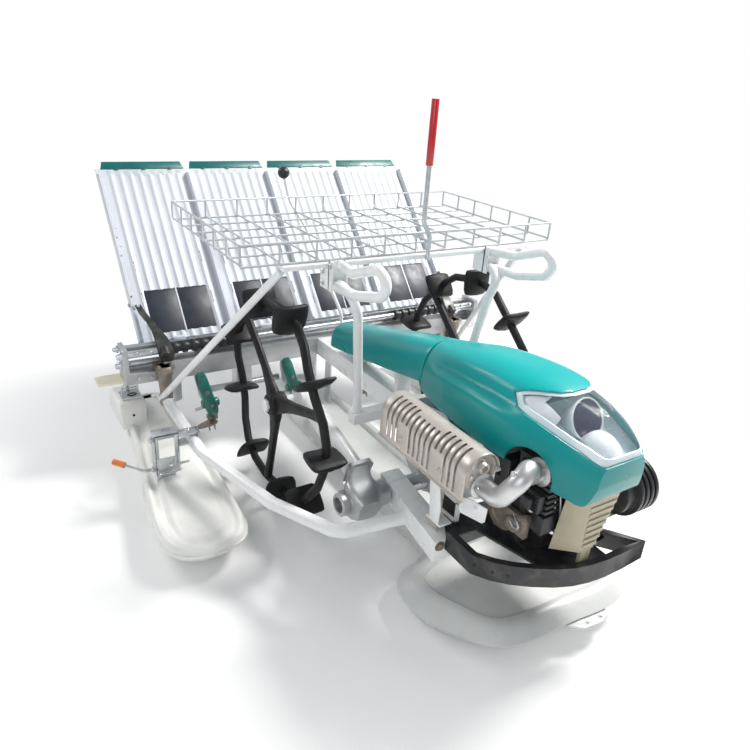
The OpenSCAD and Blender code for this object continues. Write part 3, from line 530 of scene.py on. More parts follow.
def make_lamp():
    """The pale frame beside the lamp, partly painted reflection, the pan under it, its ring, faceted bowl in
    painted reflection and bulb, and the nose before it
    """
    # partly painted reflection: the pale frame under the clear cover stands for the lamp housing and for the
    # reflection on the cover
    mask = hood_shell(10, 12)
    boolean(mask, lens_zone(1), "INTERSECT")
    boolean(mask, block((722, -72, 400), (900, 72, 700)))
    boolean(mask, block((770, -200, 400), (900, 200, 700)))
    from_solid("lamp_frame_painted_reflection", mask, HOUSING, bevel=1.0)
    pan = solid(cover(HOOD, 2.6, 5))
    boolean(pan, prism(PAN_SIDE, "y", -200, 200), "INTERSECT")
    from_solid("lamp_pan", pan, HOUSING)
    r = LAMP_RIM
    ring = Shape().lathe(LAMP_BACK, LAMP_FRONT, [(0.0, 28), (0.3, 34), (1.0, r), (1.05, r - 1),
                                                 (1.05, r - 3), (1.0, r - 3.5)], 40, caps=False)
    ring.make("lamp_ring", HOUSING, node="headlamp", slot="lamp_silver", angle=50)
    # painted reflection: the bowl's dark blue facets stand for the reflector's streaked reflection
    bowl = Shape().lathe(LAMP_BACK, LAMP_FRONT, [(1.0, r - 3.5), (0.7, 39), (0.4, 31), (0.2, 20),
            (0.14, 9)], 16)
    bowl.make("lamp_bowl_facets", LAMP, angle=8)
    Shape().lathe((745, 0, 576), (764, 0, 585), [(0, 8), (0.7, 8), (1, 4)], 20).make("lamp_bulb", HOUSING)
    Shape().rings([arch(*row) for row in spline(LAMP_NOSE, 5)]).make("lamp_nose", HOUSING)


make_hood()
make_lamp()
tail = solid(cover(TAIL, 2.8, 0))
boolean(tail, solid(cover(TAIL, 2.8, 4)))
from_solid("tail_skin", tail, TEAL_SHADED_BELOW, node="tail_cover", bevel=1.2)

# tubes and bars
tubes("side_tube_pair", [[(482, -200, 216), (456, -386, 214), (268, -472, 204), (-37, -552, 205),
      (-330, -562, 226), (-380, -545, 240)]], 34, 60, WHITE, both=True, node="side_tubes",
      slot="white_paint")
tubes("handlebar_pair", [[(-405, -120, 322), (-460, -120, 322), (-560, -140, 322), (-690, -210, 372),
      (-1080, -290, 700), (-1386, -290, 752)]], 28, 100, WHITE, both=True, slot="white_paint",
      node="handlebars")
Shape().rod((-1000, -272, 632), (-1000, 272, 632), 14, 24).make("handle_cross_bar", WHITE, angle=50)
# folded loops before the rack with their sheet brackets
sh = Shape()
sh.tube([(156, -240, 768), (246, -258, 773), (350, -256, 812), (398, -254, 790), (366, -255, 752),
         (262, -257, 724), (156, -259, 718)], 25, 24, 8, 20)
sh.tube([(156, -246, 722), (216, -238, 712), (206, -214, 650), (180, -184, 420), (180, -184, 357)], 25, 50,
        8, 20)
sh.boxes((108, -272, 706, 152, -268, 762), (108, -230, 706, 152, -226, 762),
         (108, -268, 706, 152, -230, 710), (149.5, -272, 706, 153.5, -226, 780),
         (149.5, -272, 706, 168, -268, 780), (149.5, -230, 706, 168, -226, 780))
sh.both().make("front_loops", WHITE, node="rack_posts", slot="white_paint", angle=50)
sh = Shape()
for x, z in ((122, 748), (122, 720), (160, 770)):
    sh.bolt((x, -272, z), (0, -1, 0), 10, 5)
sh.both().make("loop_bracket_bolts", ZINC)
tubes("elbow_pipe", [[(714.3, -208, 456), (770, -208, 456), (800, -190, 510), (788, -156, 526),
                      (768, -134, 488), (768, -100.3, 488)]], 42, 24, BRUSHED, node="exhaust_elbow",
      slot="zinc_steel", n=10, s=28)
# feed levers: rows are x, y, z, half width and half thickness
LEVER = [(-357, -548, 353, 17, 7), (-358, -549, 382, 24, 7), (-386, -552, 408, 21, 6),
         (-420, -557, 428, 15, 5), (-455, -567, 448, 11, 5), (-484, -582, 472, 10, 5),
         (-502, -591, 494, 9, 4)]
LEVER_SECTION = ((-1, -0.6), (-0.9, -1), (0.9, -1), (1, -0.6), (1, 0.6), (0.9, 1), (-0.9, 1), (-1, 0.6))
sh = Shape()
rings = []
for x, y, z, wide, thick in spline(LEVER, 5):
    rings.append([pt((x + c * thick, y + a * wide, z + c * thick * 0.6)) for a, c in LEVER_SECTION])
sh.rings(rings)
sh.rod((-366, -553, 392), (-344, -553, 378), 15, 24)
sh.both().make("feed_lever_pair", BLACK, node="feed_levers", slot="black_paint", angle=45)
sh = Shape()
sh.rod((-499, -592, 489), (-541, -606, 478), 3.4, 12)
sh.bolt((-497, -591, 492), (1, 0, 0.8), 9, 5)
sh.bolt((-538, -606, 483), (0.74, 0, 0.67), 9, 5)
sh.both().make("feed_lever_links", ZINC)
tubes("shift_rod_bar", [[(-353, 60, 353), (-353, 60, 430), (-540, 10, 690), (-600, -30, 780),
                         (-590, -55, 862)]], 12, 50, WHITE, node="shift_rod", slot="white_paint")
tubes("pole_bar", [[(155, 24, 760), (155, 24, 822), (155, 0, 862), (155, 0, 1012)]], 12, 30, ZINC,
      node="middle_pole", slot="zinc_steel")
tubes("depth_lever_pair", [[(-140, -560, 120), (-140, -690, 120), (-190, -740, 128)]], 8, 14, ZINC,
      both=True, node="depth_levers", slot="zinc_steel", s=12)


# floats
def closed_spline(points, n=6):
    """Catmull-Rom round a closed outline, n steps a span"""
    out, m = [], len(points)
    for i in range(m):
        a, b, c, d = (Vector(points[(i + k) % m]) for k in (-1, 0, 1, 2))
        out += [0.5 * (2 * b + (c - a) * t + (2 * a - 5 * b + 4 * c - d) * t * t
                       + (3 * b - a - 3 * c + d) * t ** 3)
                for t in (k / n for k in range(n))]
    return out


def drawn_in(path, inset):
    """The closed path moved inwards in small steps, so that tight corners don't fold"""
    count = max(1, int(abs(inset) / 3))
    for _ in range(count):
        m = len(path)
        moved = []
        for i in range(m):
            t = (path[(i + 1) % m] - path[i - 1]).normalized()
            moved.append(path[i] + Vector((-t.y, t.x)) * inset / count)
        path = [moved[i] * 0.7 + (moved[i - 1] + moved[(i + 1) % m]) * 0.15 for i in range(m)]
    return path


def moulding(outline, rows, lift, deck=None, top=97, n=6):
    """A moulded body: the plan outline drawn in by each row's inset at that row's height. lift raises
    its underside, deck is the inset and height of a sunk floor. Its ends close as a ladder of faces
    between the outline's two sides"""
    path = [Vector(p[:2]) for p in closed_spline(outline, n)]

    def ring(inset, z):
        line = drawn_in(path, inset) if inset else path
        return [pt((p.x, p.y, z + (1 - min(z, top) / top) * lift(p.x))) for p in line]
    rings = [ring(*row) for row in rows]
    sh = Shape().rings(rings, caps=False)
    m, far = len(path), n * (len(outline) - 1)
    ladder = [tuple(dict.fromkeys((i, i + 1, far - i - 1, far - i))) for i in range(far // 2)]
    ladder.append((*range(far, m), 0))
    sh.add(ring(*deck) if deck else rings[-1], ladder)
    return sh.add(rings[0], [tuple(reversed(f)) for f in ladder])


SIDE_PLAN = [(-692, -580), (-682, -610), (-650, -632), (-590, -645), (-250, -684), (0, -716), (80, -723),
             (150, -721), (205, -698), (234, -655), (239, -608), (232, -562), (205, -522), (150, -500),
             (80, -491), (0, -487), (-250, -479), (-590, -475), (-650, -484), (-682, -502), (-692, -530)]
MOULD = [(44, 0), (26, 4), (12, 22), (4, 48), (0, 56), (-5, 58), (-5, 63), (1, 65), (3, 84), (7, 92),
         (13, 95), (19, 92), (23, 84), (32, 81), (40, 84), (46, 92), (56, 97)]
for side in ("right", "left"):
    sh = moulding(SIDE_PLAN, MOULD, lambda x: 44 * step(x, 20, 250))
    sh = sh.mirrored() if side == "left" else sh
    sh.make("float_" + side, FLOAT, node="side_float_" + side, slot="float_plastic", angle=60)
MIDDLE_PLAN = [(-656, -28), (-644, -66), (-612, -96), (-550, -110), (-400, -112), (0, -112), (300, -113),
               (430, -118), (478, -150), (494, -205), (524, -244), (580, -257), (627, -255), (671, -239),
               (730, -211), (784, -177), (814, -128), (823, -50), (826, 50), (833, 140), (829, 200),
               (806, 243), (750, 257), (660, 258), (580, 257), (524, 245), (494, 206), (478, 152),
               (430, 118), (300, 113), (0, 112), (-400, 112), (-550, 110), (-612, 96), (-644, 66),
               (-656, 28)]
MIDDLE_MOULD = [(46, 0), (30, 3), (14, 20), (1, 40), (-4, 48), (-5, 53), (-2, 57), (5, 65), (14, 75),
                (26, 86), (38, 92), (48, 92), (55, 87), (59, 80), (62, 70)]
# the middle float takes the float plastic with painted shade
moulding(MIDDLE_PLAN, MIDDLE_MOULD, lambda x: 30 * step(x, 640, 840), deck=(33, 79)).make(
    "float_middle", FLOAT_PAINTED_SHADE, node="middle_float", slot="float_plastic", angle=32)
# tab with holes at the nose of the middle float, in the float plastic with painted shade
tab = prism([(810, 20), (838, 28), (856, 62), (861, 116), (848, 150), (815, 158)], "z", 56, 61)
holes = Shape().rod((846, 78, 50), (846, 78, 80), 4).rod((847, 122, 50), (847, 122, 80), 4)
boolean(tab, solid(holes))
from_solid("float_tab", tab, FLOAT_PAINTED_SHADE, bevel=1.0)

# float hangers: a plate with a window, its clip and clamp on the side tube, and the rear hanger
sh = Shape()
sh.boxes((-130, -667, 127, -88, -664, 252), (-130, -603, 127, -88, -600, 252),
         (-91, -667, 248, -88, -600, 254), (-91, -667, 127, -88, -600, 181),
         (-91, -667, 181, -88, -657, 248), (-91, -613, 181, -88, -600, 248),
         (-130, -667, 250, -88, -600, 254), (-124, -602, 206, -92, -572, 212),
         (-124, -602, 236, -92, -540, 242), (-124, -544, 180, -92, -538, 242),
         (-124, -640, 78, -96, -600, 84), (-124, -660, 80, -120, -607, 128))
sh.tube([(-560, -636, 160), (-560, -636, 262), (-440, -636, 262), (-430, -636, 292)], 12, 30, 6, 14)
sh.both().make("float_hangers", ZINC, node="float_yokes", slot="zinc_steel", bevel=0.8)
sh = Shape()
sh.tube([(-82, -604, 196), (-80, -604, 134), (-80, -664, 134), (-84, -664, 150)], 4, 8, 5, 10)
sh.tube([(-86, -640, 182), (-80, -634, 160), (-80, -618, 152), (-82, -612, 186)], 3.2, 6, 5, 10)
sh.rod((-108, -674, 140), (-108, -592, 140), 5)
sh.rod((-108, -674, 236), (-108, -592, 236), 5)
for z in (140, 236):
    sh.bolt((-108, -672, z), (0, -1, 0), 12, 6)
sh.bolt((-108, -570, 242), (0, 0, 1), 11, 6)
sh.both().make("hanger_clips", ZINC, angle=50)
# raised rear end of the side float with its cover plate, dot and wire stand
HUMP = [(-470, 77), (-474, 150), (-480, 164), (-496, 172), (-604, 176), (-656, 150), (-670, 77)]
for side, y0, y1 in (("right", -680, -596), ("left", 596, 680)):
    from_solid("float_hump_" + side, prism(HUMP, "y", y0, y1), FLOAT, bevel=9)
sh = Shape().box((-560, -666, 174), (-500, -606, 180))
for y in (-662, -610):
    sh.tube([(-520, y, 178), (-520, y, 212), (-520, y + (12 if y < -640 else -12), 222), (-520, y, 240)], 4,
            6, 5, 10)
for z in (206, 228):
    sh.rod((-520, -664, z), (-520, -608, z), 2)
sh.both().make("float_wire_stand", ZINC, angle=50)
sh = Shape().rod((-474, -640, 128), (-470, -640, 128), 4, 16)
sh.tube([(-506, -648, 188), (-506, -640, 192), (-506, -626, 192), (-506, -618, 188), (-506, -626, 184),
         (-506, -640, 184)], 5, 0, s=10, closed=True)
sh.both().make("float_latch", PLASTIC, angle=50)

# planting arms: a curved body on each case's end, its fork and the link behind it
PLANTER = [(-362, 2, 298, 12, 10), (-360, 3, 282, 17, 18), (-352, 8, 254, 19, 20), (-344, 16, 222, 22, 19),
           (-340, 25, 190, 24, 21), (-340, 31, 160, 20, 18), (-342, 33, 140, 12, 12)]
CORNERS = ((-1, -1), (1, -1), (1, 1), (-1, 1))
arms, forks, links = Shape(), Shape(), Shape()
for y in LANES:
    arms.rings([[pt((x + half * c, y + dy + thick * e, z)) for c, e in round_trip(16, 0.6)]
                for x, dy, z, half, thick in spline(PLANTER, 5)])
    arms.lathe((-342, y - 2, 190), (-342, y + 54, 190), [(0, 12), (0.1, 16), (0.9, 16), (1, 12)], 24)
    for side in (-9, 9):
        tines = ((-342, 30, 146, 9), (-336, 26, 130, 10), (-326, 22, 118, 8), (-306, 18, 108, 2))
        forks.rings([[pt((x + a * half, y + dy + side + b * 1.5, z)) for a, b in CORNERS]
                     for x, dy, z, half in tines])
    bridge = ((-30, 112, 3), (-12, 116, 14), (16, 122, 20), (34, 124, 16), (44, 124, 5))
    forks.rings([[pt((-330 + a * half, y + dy, z + b * 2)) for a, b in CORNERS] for dy, z, half in bridge])
    forks.box((-352, y + 14, 132), (-330, y + 46, 146))
    forks.bolt((-322, y + 25, 190), (1, 0, 0), 12, 6)
    forks.bolt((-324, y + 12, 236), (1, 0, 0), 9, 5)
    links.tube([(-346, y + 4, 284), (-404, y + 4, 262), (-404, y + 14, 190), (-358, y + 24, 176)], 12, 16, 5,
                12)
    links.rod((-352, y - 22, 168), (-346, y + 26, 180), 5, 14)
arms.make("planter_bodies", GREEN, node="planting_arms", slot="teal_paint", angle=45)
forks.make("planter_forks", BROWN, bevel=0.5)
links.make("planter_links", ALLOY, angle=50)
# castings that carry the side tubes' ends, with the shafts' ends in the brackets beside them
sh = Shape()
sh.lathe((-345, -562, 346), (-345, -562, 214), [(0, 22), (0.05, 26), (0.2, 26), (0.24, 22), (0.7, 18),
        (0.74, 21), (0.96, 21), (1, 18)], 28)
sh.box((-376, -590, 338), (-328, -534, 346))
for x, y in ((-368, -582), (-336, -582), (-336, -542)):
    sh.bolt((x, y, 346), (0, 0, 1), 10, 6)
sh.both().make("end_castings", BROWN, bevel=1.2)
sh = Shape()
for x, z, r in ((-372, 386, 11), (-398, 345, 10), (-420, 390, 8)):
    sh.lathe((x, -694, z), (x, -560, z), [(0, r - 2), (0.02, r), (1, r)], 24)
    sh.lathe((x, -684, z), (x, -672, z), [(0, r + 4), (0.2, r + 5), (1, r + 5)], 24)
for z in (310, 396):
    sh.bolt((-352, -640, z), (1, 0, 0), 10, 6)
    sh.bolt((-352, -598, z), (1, 0, 0), 10, 6)
sh.both().make("end_shafts", ZINC, angle=45)

# gear cases on the swing arms' ends: rows are distance from the pivot, half width, half height, middle's y
CASE = ((84, 34, 44, 248), (82, 36, 47, 248), (70, 36, 47, 248), (68, 34, 45, 248), (66, 32, 41, 250),
        (50, 35, 44, 266), (24, 41, 48, 281), (0, 42, 48, 282), (-26, 38, 42, 281), (-44, 28, 30, 280))
NECK = [(0, 40), (0.1, 44), (0.2, 44), (0.24, 41), (0.32, 44), (0.4, 44), (0.44, 41), (0.52, 44), (0.7, 44),
        (0.86, 36), (1, 31)]
SNOUT = [(0, 31), (0.3, 31), (0.34, 28), (0.5, 28), (0.54, 30), (0.92, 30), (1, 27), (1, 20), (0.1, 19)]


def swing_case(side, sign):
    """Bolted flange, tapered case, ringed neck and a snout with an open bore, with a disc of painted shade
    deep in the bore
    """
    put = lambda x, y, z: (x, sign * y, z)
    on_pivot = lambda y: put(SWING_X, y, SWING_Z)
    hub, along = Vector((SWING_X, 0, SWING_Z)), Vector((-0.965, 0, 0.262))
    up = Vector((0.262, 0, 0.965))

    def section(s, half_y, half_up, y):
        ring = []
        for c, e in round_trip(24, 0.32, start=0.5):
            q = hub + along * s + up * half_up * e
            ring.append(pt(put(q.x, y + half_y * c, q.z)))
        return ring
    sh = Shape()
    sh.rings([section(*row) for row in CASE])
    sh.lathe(on_pivot(238), on_pivot(322), NECK, 40)
    sh.rod(on_pivot(212), on_pivot(240), 34, 36)
    sh.lathe(on_pivot(318), on_pivot(345), SNOUT, 40)
    for a in (-32, 0, 30):
        q = hub + up * a
        rib = [q + along * s + up * t for s, t in ((40, 3), (40, -3), (-10, -3), (-10, 3))]
        sh.rings([[pt(put(v.x, y, v.z)) for v in rib] for y in (300, 324 - abs(a) * 0.15)])
    for a in (-1, 1):
        for b in (-1, 1):
            q = hub + along * 69 + up * 35 * a
            sh.bolt(put(q.x, 248 + 27 * b, q.z), tuple(-along), 10, 6)
    sh.make("swing_case_" + side, ALLOY, body="swing_" + side, node="swing_casting_" + side,
            slot="cast_alloy")
    # painted shade: a dark disc deep in the snout's bore
    bore = Shape().rod(on_pivot(322), on_pivot(324), 19, 28)
    bore.make("snout_painted_shade_" + side, PAINTED_SHADE, body="swing_" + side)


swing_case("right", -1)
swing_case("left", 1)

# bow and beam fixings; the bow's holes are dark discs of painted shade
sh = Shape()
for (x, y, z), along in (((728, -202, 254), (0.64, -0.77, 0)), ((762, -179, 252), (0.7, -0.7, 0)),
                         ((786, -155, 250), (0.75, -0.66, 0))):
    d = Vector(along).normalized()
    sh.rod(Vector((x, y, z)) - d * 3, Vector((x, y, z)) + d * 0.8, 4, 16)
sh.make("bow_holes_painted_shade", PAINTED_SHADE)
sh = Shape()
sh.bolt((629, -220, 240), (1, 0, 0), 15, 8)
sh.bolt((629, 220, 240), (1, 0, 0), 15, 8)
sh.make("beam_end_bolts", BROWN)

# wheels: rows are distance from the hub, half width and half thickness, and a spoke's shift sideways
LUGS = 9
SPOKE = ((8, 20, 15, 0), (34, 27, 14, 0), (60, 21, 11, 2), (120, 15, 9, 4), (210, 12, 9, 3),
         (288, 14, 10, 0))
LUG = ((246, 34, 6), (250, 42, 8), (264, 48, 10), (288, 50, 12), (312, 50, 11), (325, 48, 9), (328.5, 42, 6))


def spoke(sh, y, a):
    """A tapered spoke at the angle a"""
    d, w = Vector((cos(a), 0, sin(a))), Vector((-sin(a), 0, cos(a)))
    sh.rings([[pt(Vector((0, y + dy, HUB_HEIGHT)) + d * r + w * half * c + Vector((0, t * e, 0)))
               for c, e in round_trip(12, 0.5)] for r, half, t, dy in SPOKE])


def lug(sh, y, a):
    """A paddle lug at the angle a, curved across its width"""
    d, w = Vector((cos(a), 0, sin(a))), Vector((-sin(a), 0, cos(a)))
    rings = []
    for r, half, t in LUG:
        ring = []
        for c, e in round_trip(16, 0.4, 0.7):
            thick = t * (1 - 0.4 * abs(c) ** 3) * e
            ring.append(pt(Vector((0, y + half * c, HUB_HEIGHT)) + d * r
                           + w * (thick + 6 * abs(c) ** 2 - 4)))
        rings.append(ring)
    sh.rings(rings)


def wheel(name, y, phase, node):
    """A rubber-covered rim that bends from lug to lug, three tapered spokes and paddle lugs"""
    sh = Shape()
    turn = lambda a, r, dy: (r * cos(a), y + dy, HUB_HEIGHT + r * sin(a))
    angles = [-radians(360 * i / LUGS + phase) + pi / 2 for i in range(LUGS)]
    bends = []
    for i, a in enumerate(angles):
        side = 10 if i % 2 == 0 else -10
        bends += [turn(a + 0.12, 288, side), turn(a - 0.12, 288, side), turn(a - 0.35, 293, 0)]
    sh.tube(bends, 24, 0, s=12, closed=True)
    for i in range(3):
        spoke(sh, y, -radians(120 * i + 102))
    for i, a in enumerate(angles):
        lug(sh, y + (5 if i % 2 == 0 else -5), a)
    hub = [(0, 25), (0.04, 29), (0.12, 32), (0.88, 32), (0.96, 29), (1, 25)]
    sh.lathe((0, y - 27, HUB_HEIGHT), (0, y + 27, HUB_HEIGHT), hub, 32)
    return sh.make(name, RUBBER, body=node, node=node, slot="lug_rubber", angle=50)


wheel("wheel_right_rubber", -WHEEL_Y, 15, "wheel_right")
wheel("wheel_left_rubber", WHEEL_Y, 0, "wheel_left")


# seedling tray: distances up its slope from the foot, across, and out of its face
SLOPE = radians(47.5)
FOOT_X, FOOT_Z = -463, 379


def on_tray(up, y, out):
    return pt((FOOT_X - up * cos(SLOPE) + out * sin(SLOPE), y, FOOT_Z + up * sin(SLOPE) + out * cos(SLOPE)))


def slab(sh, up, y, out):
    """A box on the tray from three pairs of limits"""
    return sh.rings([[on_tray(u, y[a], out[b]) for a, b in ((0, 0), (1, 0), (1, 1), (0, 1))] for u in up])


def lane_profile(rise):
    """The tray's face across its four lanes: soft ribs, with a wall on each border"""
    out = []
    for i in range(-303, 304):
        y = i * 2
        across = (y + 2 * PITCH) % PITCH - PITCH // 2 if abs(y) < 2 * PITCH else PITCH // 2
        wall = abs(abs(y) - PITCH * round(abs(y) / PITCH))
        rib = 0.5 + 0.5 * cos(2 * pi * (across / 32 + 0.5))
        h = 6 + rise * (4.6 * rib ** 2.2 if abs(across) < 127 else 0)
        if wall <= 7:
            h += rise * 20 * (1 if wall <= 5 else 0.85)
        out.append((y, h))
    return [(-607, 6)] + out + [(607, 6)]


rings = []
for up, rise in ((0, 0.92), (1, 1), (603, 1), (612, 0.2), (613, 0), (632, 0)):
    line = lane_profile(rise)
    rings.append([on_tray(up, y, h) for y, h in line] + [on_tray(up, y, 0) for y, h in reversed(line)])
tray = solid(rings)
holes = Shape()
for lane in LANES:
    slab(holes, (24, 174), (lane - 103, lane + 103), (-5, 40))
    for side, up, long in ((-112, 246, 34), (-112, 133, 34), (112, 262, 40), (113, 110, 44), (-120, 60, 26)):
        slab(holes, (up, up + long), (lane + side - 2, lane + side + 2), (-5, 40))
for up, y in ((403, -590), (360, -596), (294, -596), (149, -598), (104, -598), (336, -588)):
    slab(holes, (up, up + 6), (y - 3, y + 3), (-5, 40))
boolean(tray, solid(holes))
from_solid("tray_face", tray, TRAY, body="tray", node="tray_panel", angle=30)
sh = Shape()
for y in (-480, -180, 180, 480):
    sh.box((-472, y - 20, 374.4), (-448, y + 20, 390))
sh.make("tray_shoes", TRAY, body="tray", bevel=1.5)
sh, marks, centre, roll = Shape(), Shape(), Shape(), Shape()
for lane in LANES:
    for half in (-1, 1):
        y0, y1 = sorted((lane + half * 3, lane + half * 102.4))
        slab(sh, (24.6, 173), (y0, y1), (-8, 7.6))
        steps = 26
        roll.rings([[on_tray(173 + 3.5 * c + 1.2 * sin(k * 1.9), y0 + 1 + (y1 - y0 - 2) * k / steps,
                             5 + 3.5 * e) for c, e in round_trip(10)] for k in range(steps + 1)])
    slab(centre, (20, 180), (lane - 2.6, lane + 2.6), (1, 9))
    for r in range(9):
        y = lane + (r - 4) * 29
        slab(marks, (604, 624), (y - 6.5, y + 6.5), (5.5, 6.5 if r % 2 else 6.6))
sh.make("belt_faces", BELT, body="tray", node="tray_belts", slot="belt_rubber", bevel=0.6)
roll.make("belt_rolls", BELT, body="tray")
centre.make("belt_centre_bars", TRAY, body="tray", bevel=0.5)
marks.make("strip_notches", NOTCH, body="tray")
sh = Shape()
for lane in LANES:
    ring = [(632, lane - 140), (632, lane + 140), (660, lane + 132), (660, lane - 132)]
    sh.rings([[on_tray(u, y, h) for u, y in ring] for h in (2, 6)])
    slab(sh, (630, 634), (lane - 139, lane + 139), (5, 9))
    for r in range(3):
        y = lane + (r - 1) * 90
        slab(sh, (626, 636), (y - 7, y + 7), (5.5, 8.5))
sh.make("strip_tabs", STRIP, body="tray", node="tray_strips", slot="strip_plastic", bevel=0.8)


# muffler guard and the muffler's front end
def guard():
    """A bent sheet with slots: rows of cells along the muffler, left out where a slot is"""
    yc, zc, r = -214, 488, 44.5
    turned = [(yc + r * sin(radians(a)), zc + r * cos(radians(a)))
              for a in range(82, -91, -6)]
    flat = [(yc - r, z) for z in (478, 470, 460, 450, 440)]
    profile = turned + flat + [(yc - r - 0.5, 433), (yc - r - 7, 431)]
    high, low = 15, 18
    rows = [(high, 33)] * 3 + [(high, 26)] * 2 + [(low, 33)] * 5 + [(high, 26)] * 2 + [(high, 33)] * 3
    xs, slot = [410], {}
    for c, cell in enumerate(rows):
        x = 434 + 18 * c
        xs += [x, x + 7]
        slot[len(xs) - 2] = cell
    xs += [714, 722]
    m = len(profile)
    f = []
    for i in range(len(xs) - 1):
        for k in range(m - 1):
            if i in slot and slot[i][0] <= k < slot[i][1]:
                continue
            f.append((i * m + k, i * m + k + 1, (i + 1) * m + k + 1, (i + 1) * m + k))
    o = Shape().add([pt((x, y, z)) for x in xs for y, z in profile], f).make(
        "guard_sheet", GUARD, node="muffler_guard", slot="guard_paint", angle=30)
    o.modifiers.clear()
    t = o.modifiers.new("sheet", "SOLIDIFY")
    t.thickness = 0.0025
    t.offset = 0
    finish_edges(o, 0.5, 35, weld=False)
    sh = Shape()
    for x, z in ((496, 462), (640, 462)):
        sh.lathe((x, yc - r - 1, z), (x, yc - r - 4, z), [(0, 7), (0.5, 7), (1, 4)], 20)
        sh.lathe((x, yc - r - 3, z), (x, yc - r - 6, z), [(0, 3.4), (0.7, 3.2), (1, 1.8)], 16)
    sh.lathe((716, yc - r - 1, 470), (716, yc - r - 2.6, 470), [(0, 2.6), (1, 2.0)], 14)
    sh.make("guard_rivets", GUARD)
    # front end of the muffler inside the guard: dished plate, boss, outlet and a screw
    sh = Shape()
    sh.lathe((706, yc, zc), (716, yc, zc), [(0, 39), (0.5, 41), (0.8, 41), (0.9, 38), (0.6, 30), (0.6, 5)],
             48)
    sh.lathe((711, yc - 6, zc + 19), (718, yc - 6, zc + 19), [(0, 19), (0.6, 19), (1, 16), (1, 12)], 36)
    sh.make("muffler_end", GUARD, angle=40)
    sh = Shape().lathe((712, yc - 6, zc + 19), (733, yc - 6, zc + 19),
                       [(0, 12), (0.9, 12), (1, 11), (1, 8.2), (0.4, 8)], 32)
    sh.bolt((712, yc - 22, zc - 6), (1, 0, 0), 9, 6)
    sh.make("muffler_outlet", BRUSHED, angle=40)
    # painted shade: a dark disc inside the outlet pipe
    Shape().rod((720, yc - 6, zc + 19), (721, yc - 6, zc + 19), 8, 24).make("outlet_painted_shade", PAINTED_SHADE)


guard()


def plate(sh, corners, thick):
    """A flat plate: corners are (x, z), thick is its two sides in y"""
    return sh.rings([[pt((x, h, z)) for x, z in corners] for h in thick])


# engine details on its right side
MUDGUARD = [(687, 421), (694, 390), (699, 386), (764, 403), (770, 409), (772, 442), (730, 436)]
sh = plate(Shape(), MUDGUARD, (-238, -235))
sh.bolt((742, -238, 424), (0, -1, 0), 9, 5)
plate(sh, [(556, 392), (566, 318), (572, 280), (604, 280), (606, 323), (592, 392)], (-212, -208.6))
sh.boxes((523, -158, 262, 531, -148, 322), (596, -158, 262, 604, -148, 322),
         (523, -158, 262, 604, -148, 269), (523, -158, 315, 604, -148, 322),
         (560, -212, 276, 612, -178, 281))
sh.make("shield_plates", WHITE, bevel=1.2)
# painted shade: a dark panel behind the shield's window
Shape().box((530, -152, 267), (598, -149, 317)).make("window_painted_shade", PAINTED_SHADE, bevel=0.5)
sh = Shape()
sh.lathe((680, -97, 330), (680, -101, 330), [(0, 44), (0.5, 43), (1, 38), (1, 26), (0.3, 24)], 40)
for k in range(6):
    a = radians(60 * k + 15)
    sh.bolt((680 + 38 * cos(a), -99, 330 + 38 * sin(a)), (0, -1, 0), 7, 4, washer=False)
sh.box((708, -112, 318), (768, -98, 366))
sh.lathe((738, -112, 342), (738, -124, 342), [(0, 20), (0.7, 19), (1, 15)], 28)
sh.rod((770, -106, 372), (716, -112, 340), 9, 16)
sh.make("crankcase_cover", BROWN, bevel=1.5)
sh = Shape()
sh.tube([(742, -124, 372), (760, -130, 366), (766, -128, 350), (748, -126, 344), (736, -126, 352)], 4, 6, 5,
        10)
sh.tube([(800, -64, 454), (806, -62, 420), (803, -52, 380), (800, -38, 341)], 5, 20, 5, 10)
sh.tube([(794, -72, 448), (799, -70, 414), (798, -60, 372), (794, -46, 334)], 5, 20, 5, 10)
sh.bolt((802, -66, 350), (0.6, -0.8, 0), 9, 7)
sh.bolt((770, -109, 402), (0, -1, 0), 11, 7)
sh.make("engine_rods", ZINC, angle=50)
sh = Shape().boxes((560, -64, 402, 688, -60, 590), (664, -104, 402, 690, -60, 470))
sh.make("engine_shroud", PLASTIC, bevel=2)
sh = Shape().boxes((742, -118, 404, 796, -100, 446), (756, -132, 412, 784, -118, 438),
                   (788, -106, 352, 806, -60, 396))
for i in range(5):
    sh.box((744, -121, 407 + 8 * i), (794, -118, 410 + 8 * i))
sh.make("ignition_box", PLASTIC, bevel=2)
sh = Shape()
for x, y, z in ((790, -180, 524), (786, -166, 512)):
    sh.bolt((x, y - 20, z), (0, -1, 0.2), 8, 5)
sh.lathe((712, -208, 456), (722, -208, 456), [(0, 28), (0.15, 30), (0.85, 30), (1, 28)], 36)
sh.lathe((768, -104, 488), (768, -96, 488), [(0, 29), (0.15, 31), (0.85, 31), (1, 29)], 36)
sh.bolt((729, -229, 458), (0, -1, 0), 8, 5)
sh.make("elbow_flanges", BRUSHED, angle=40)


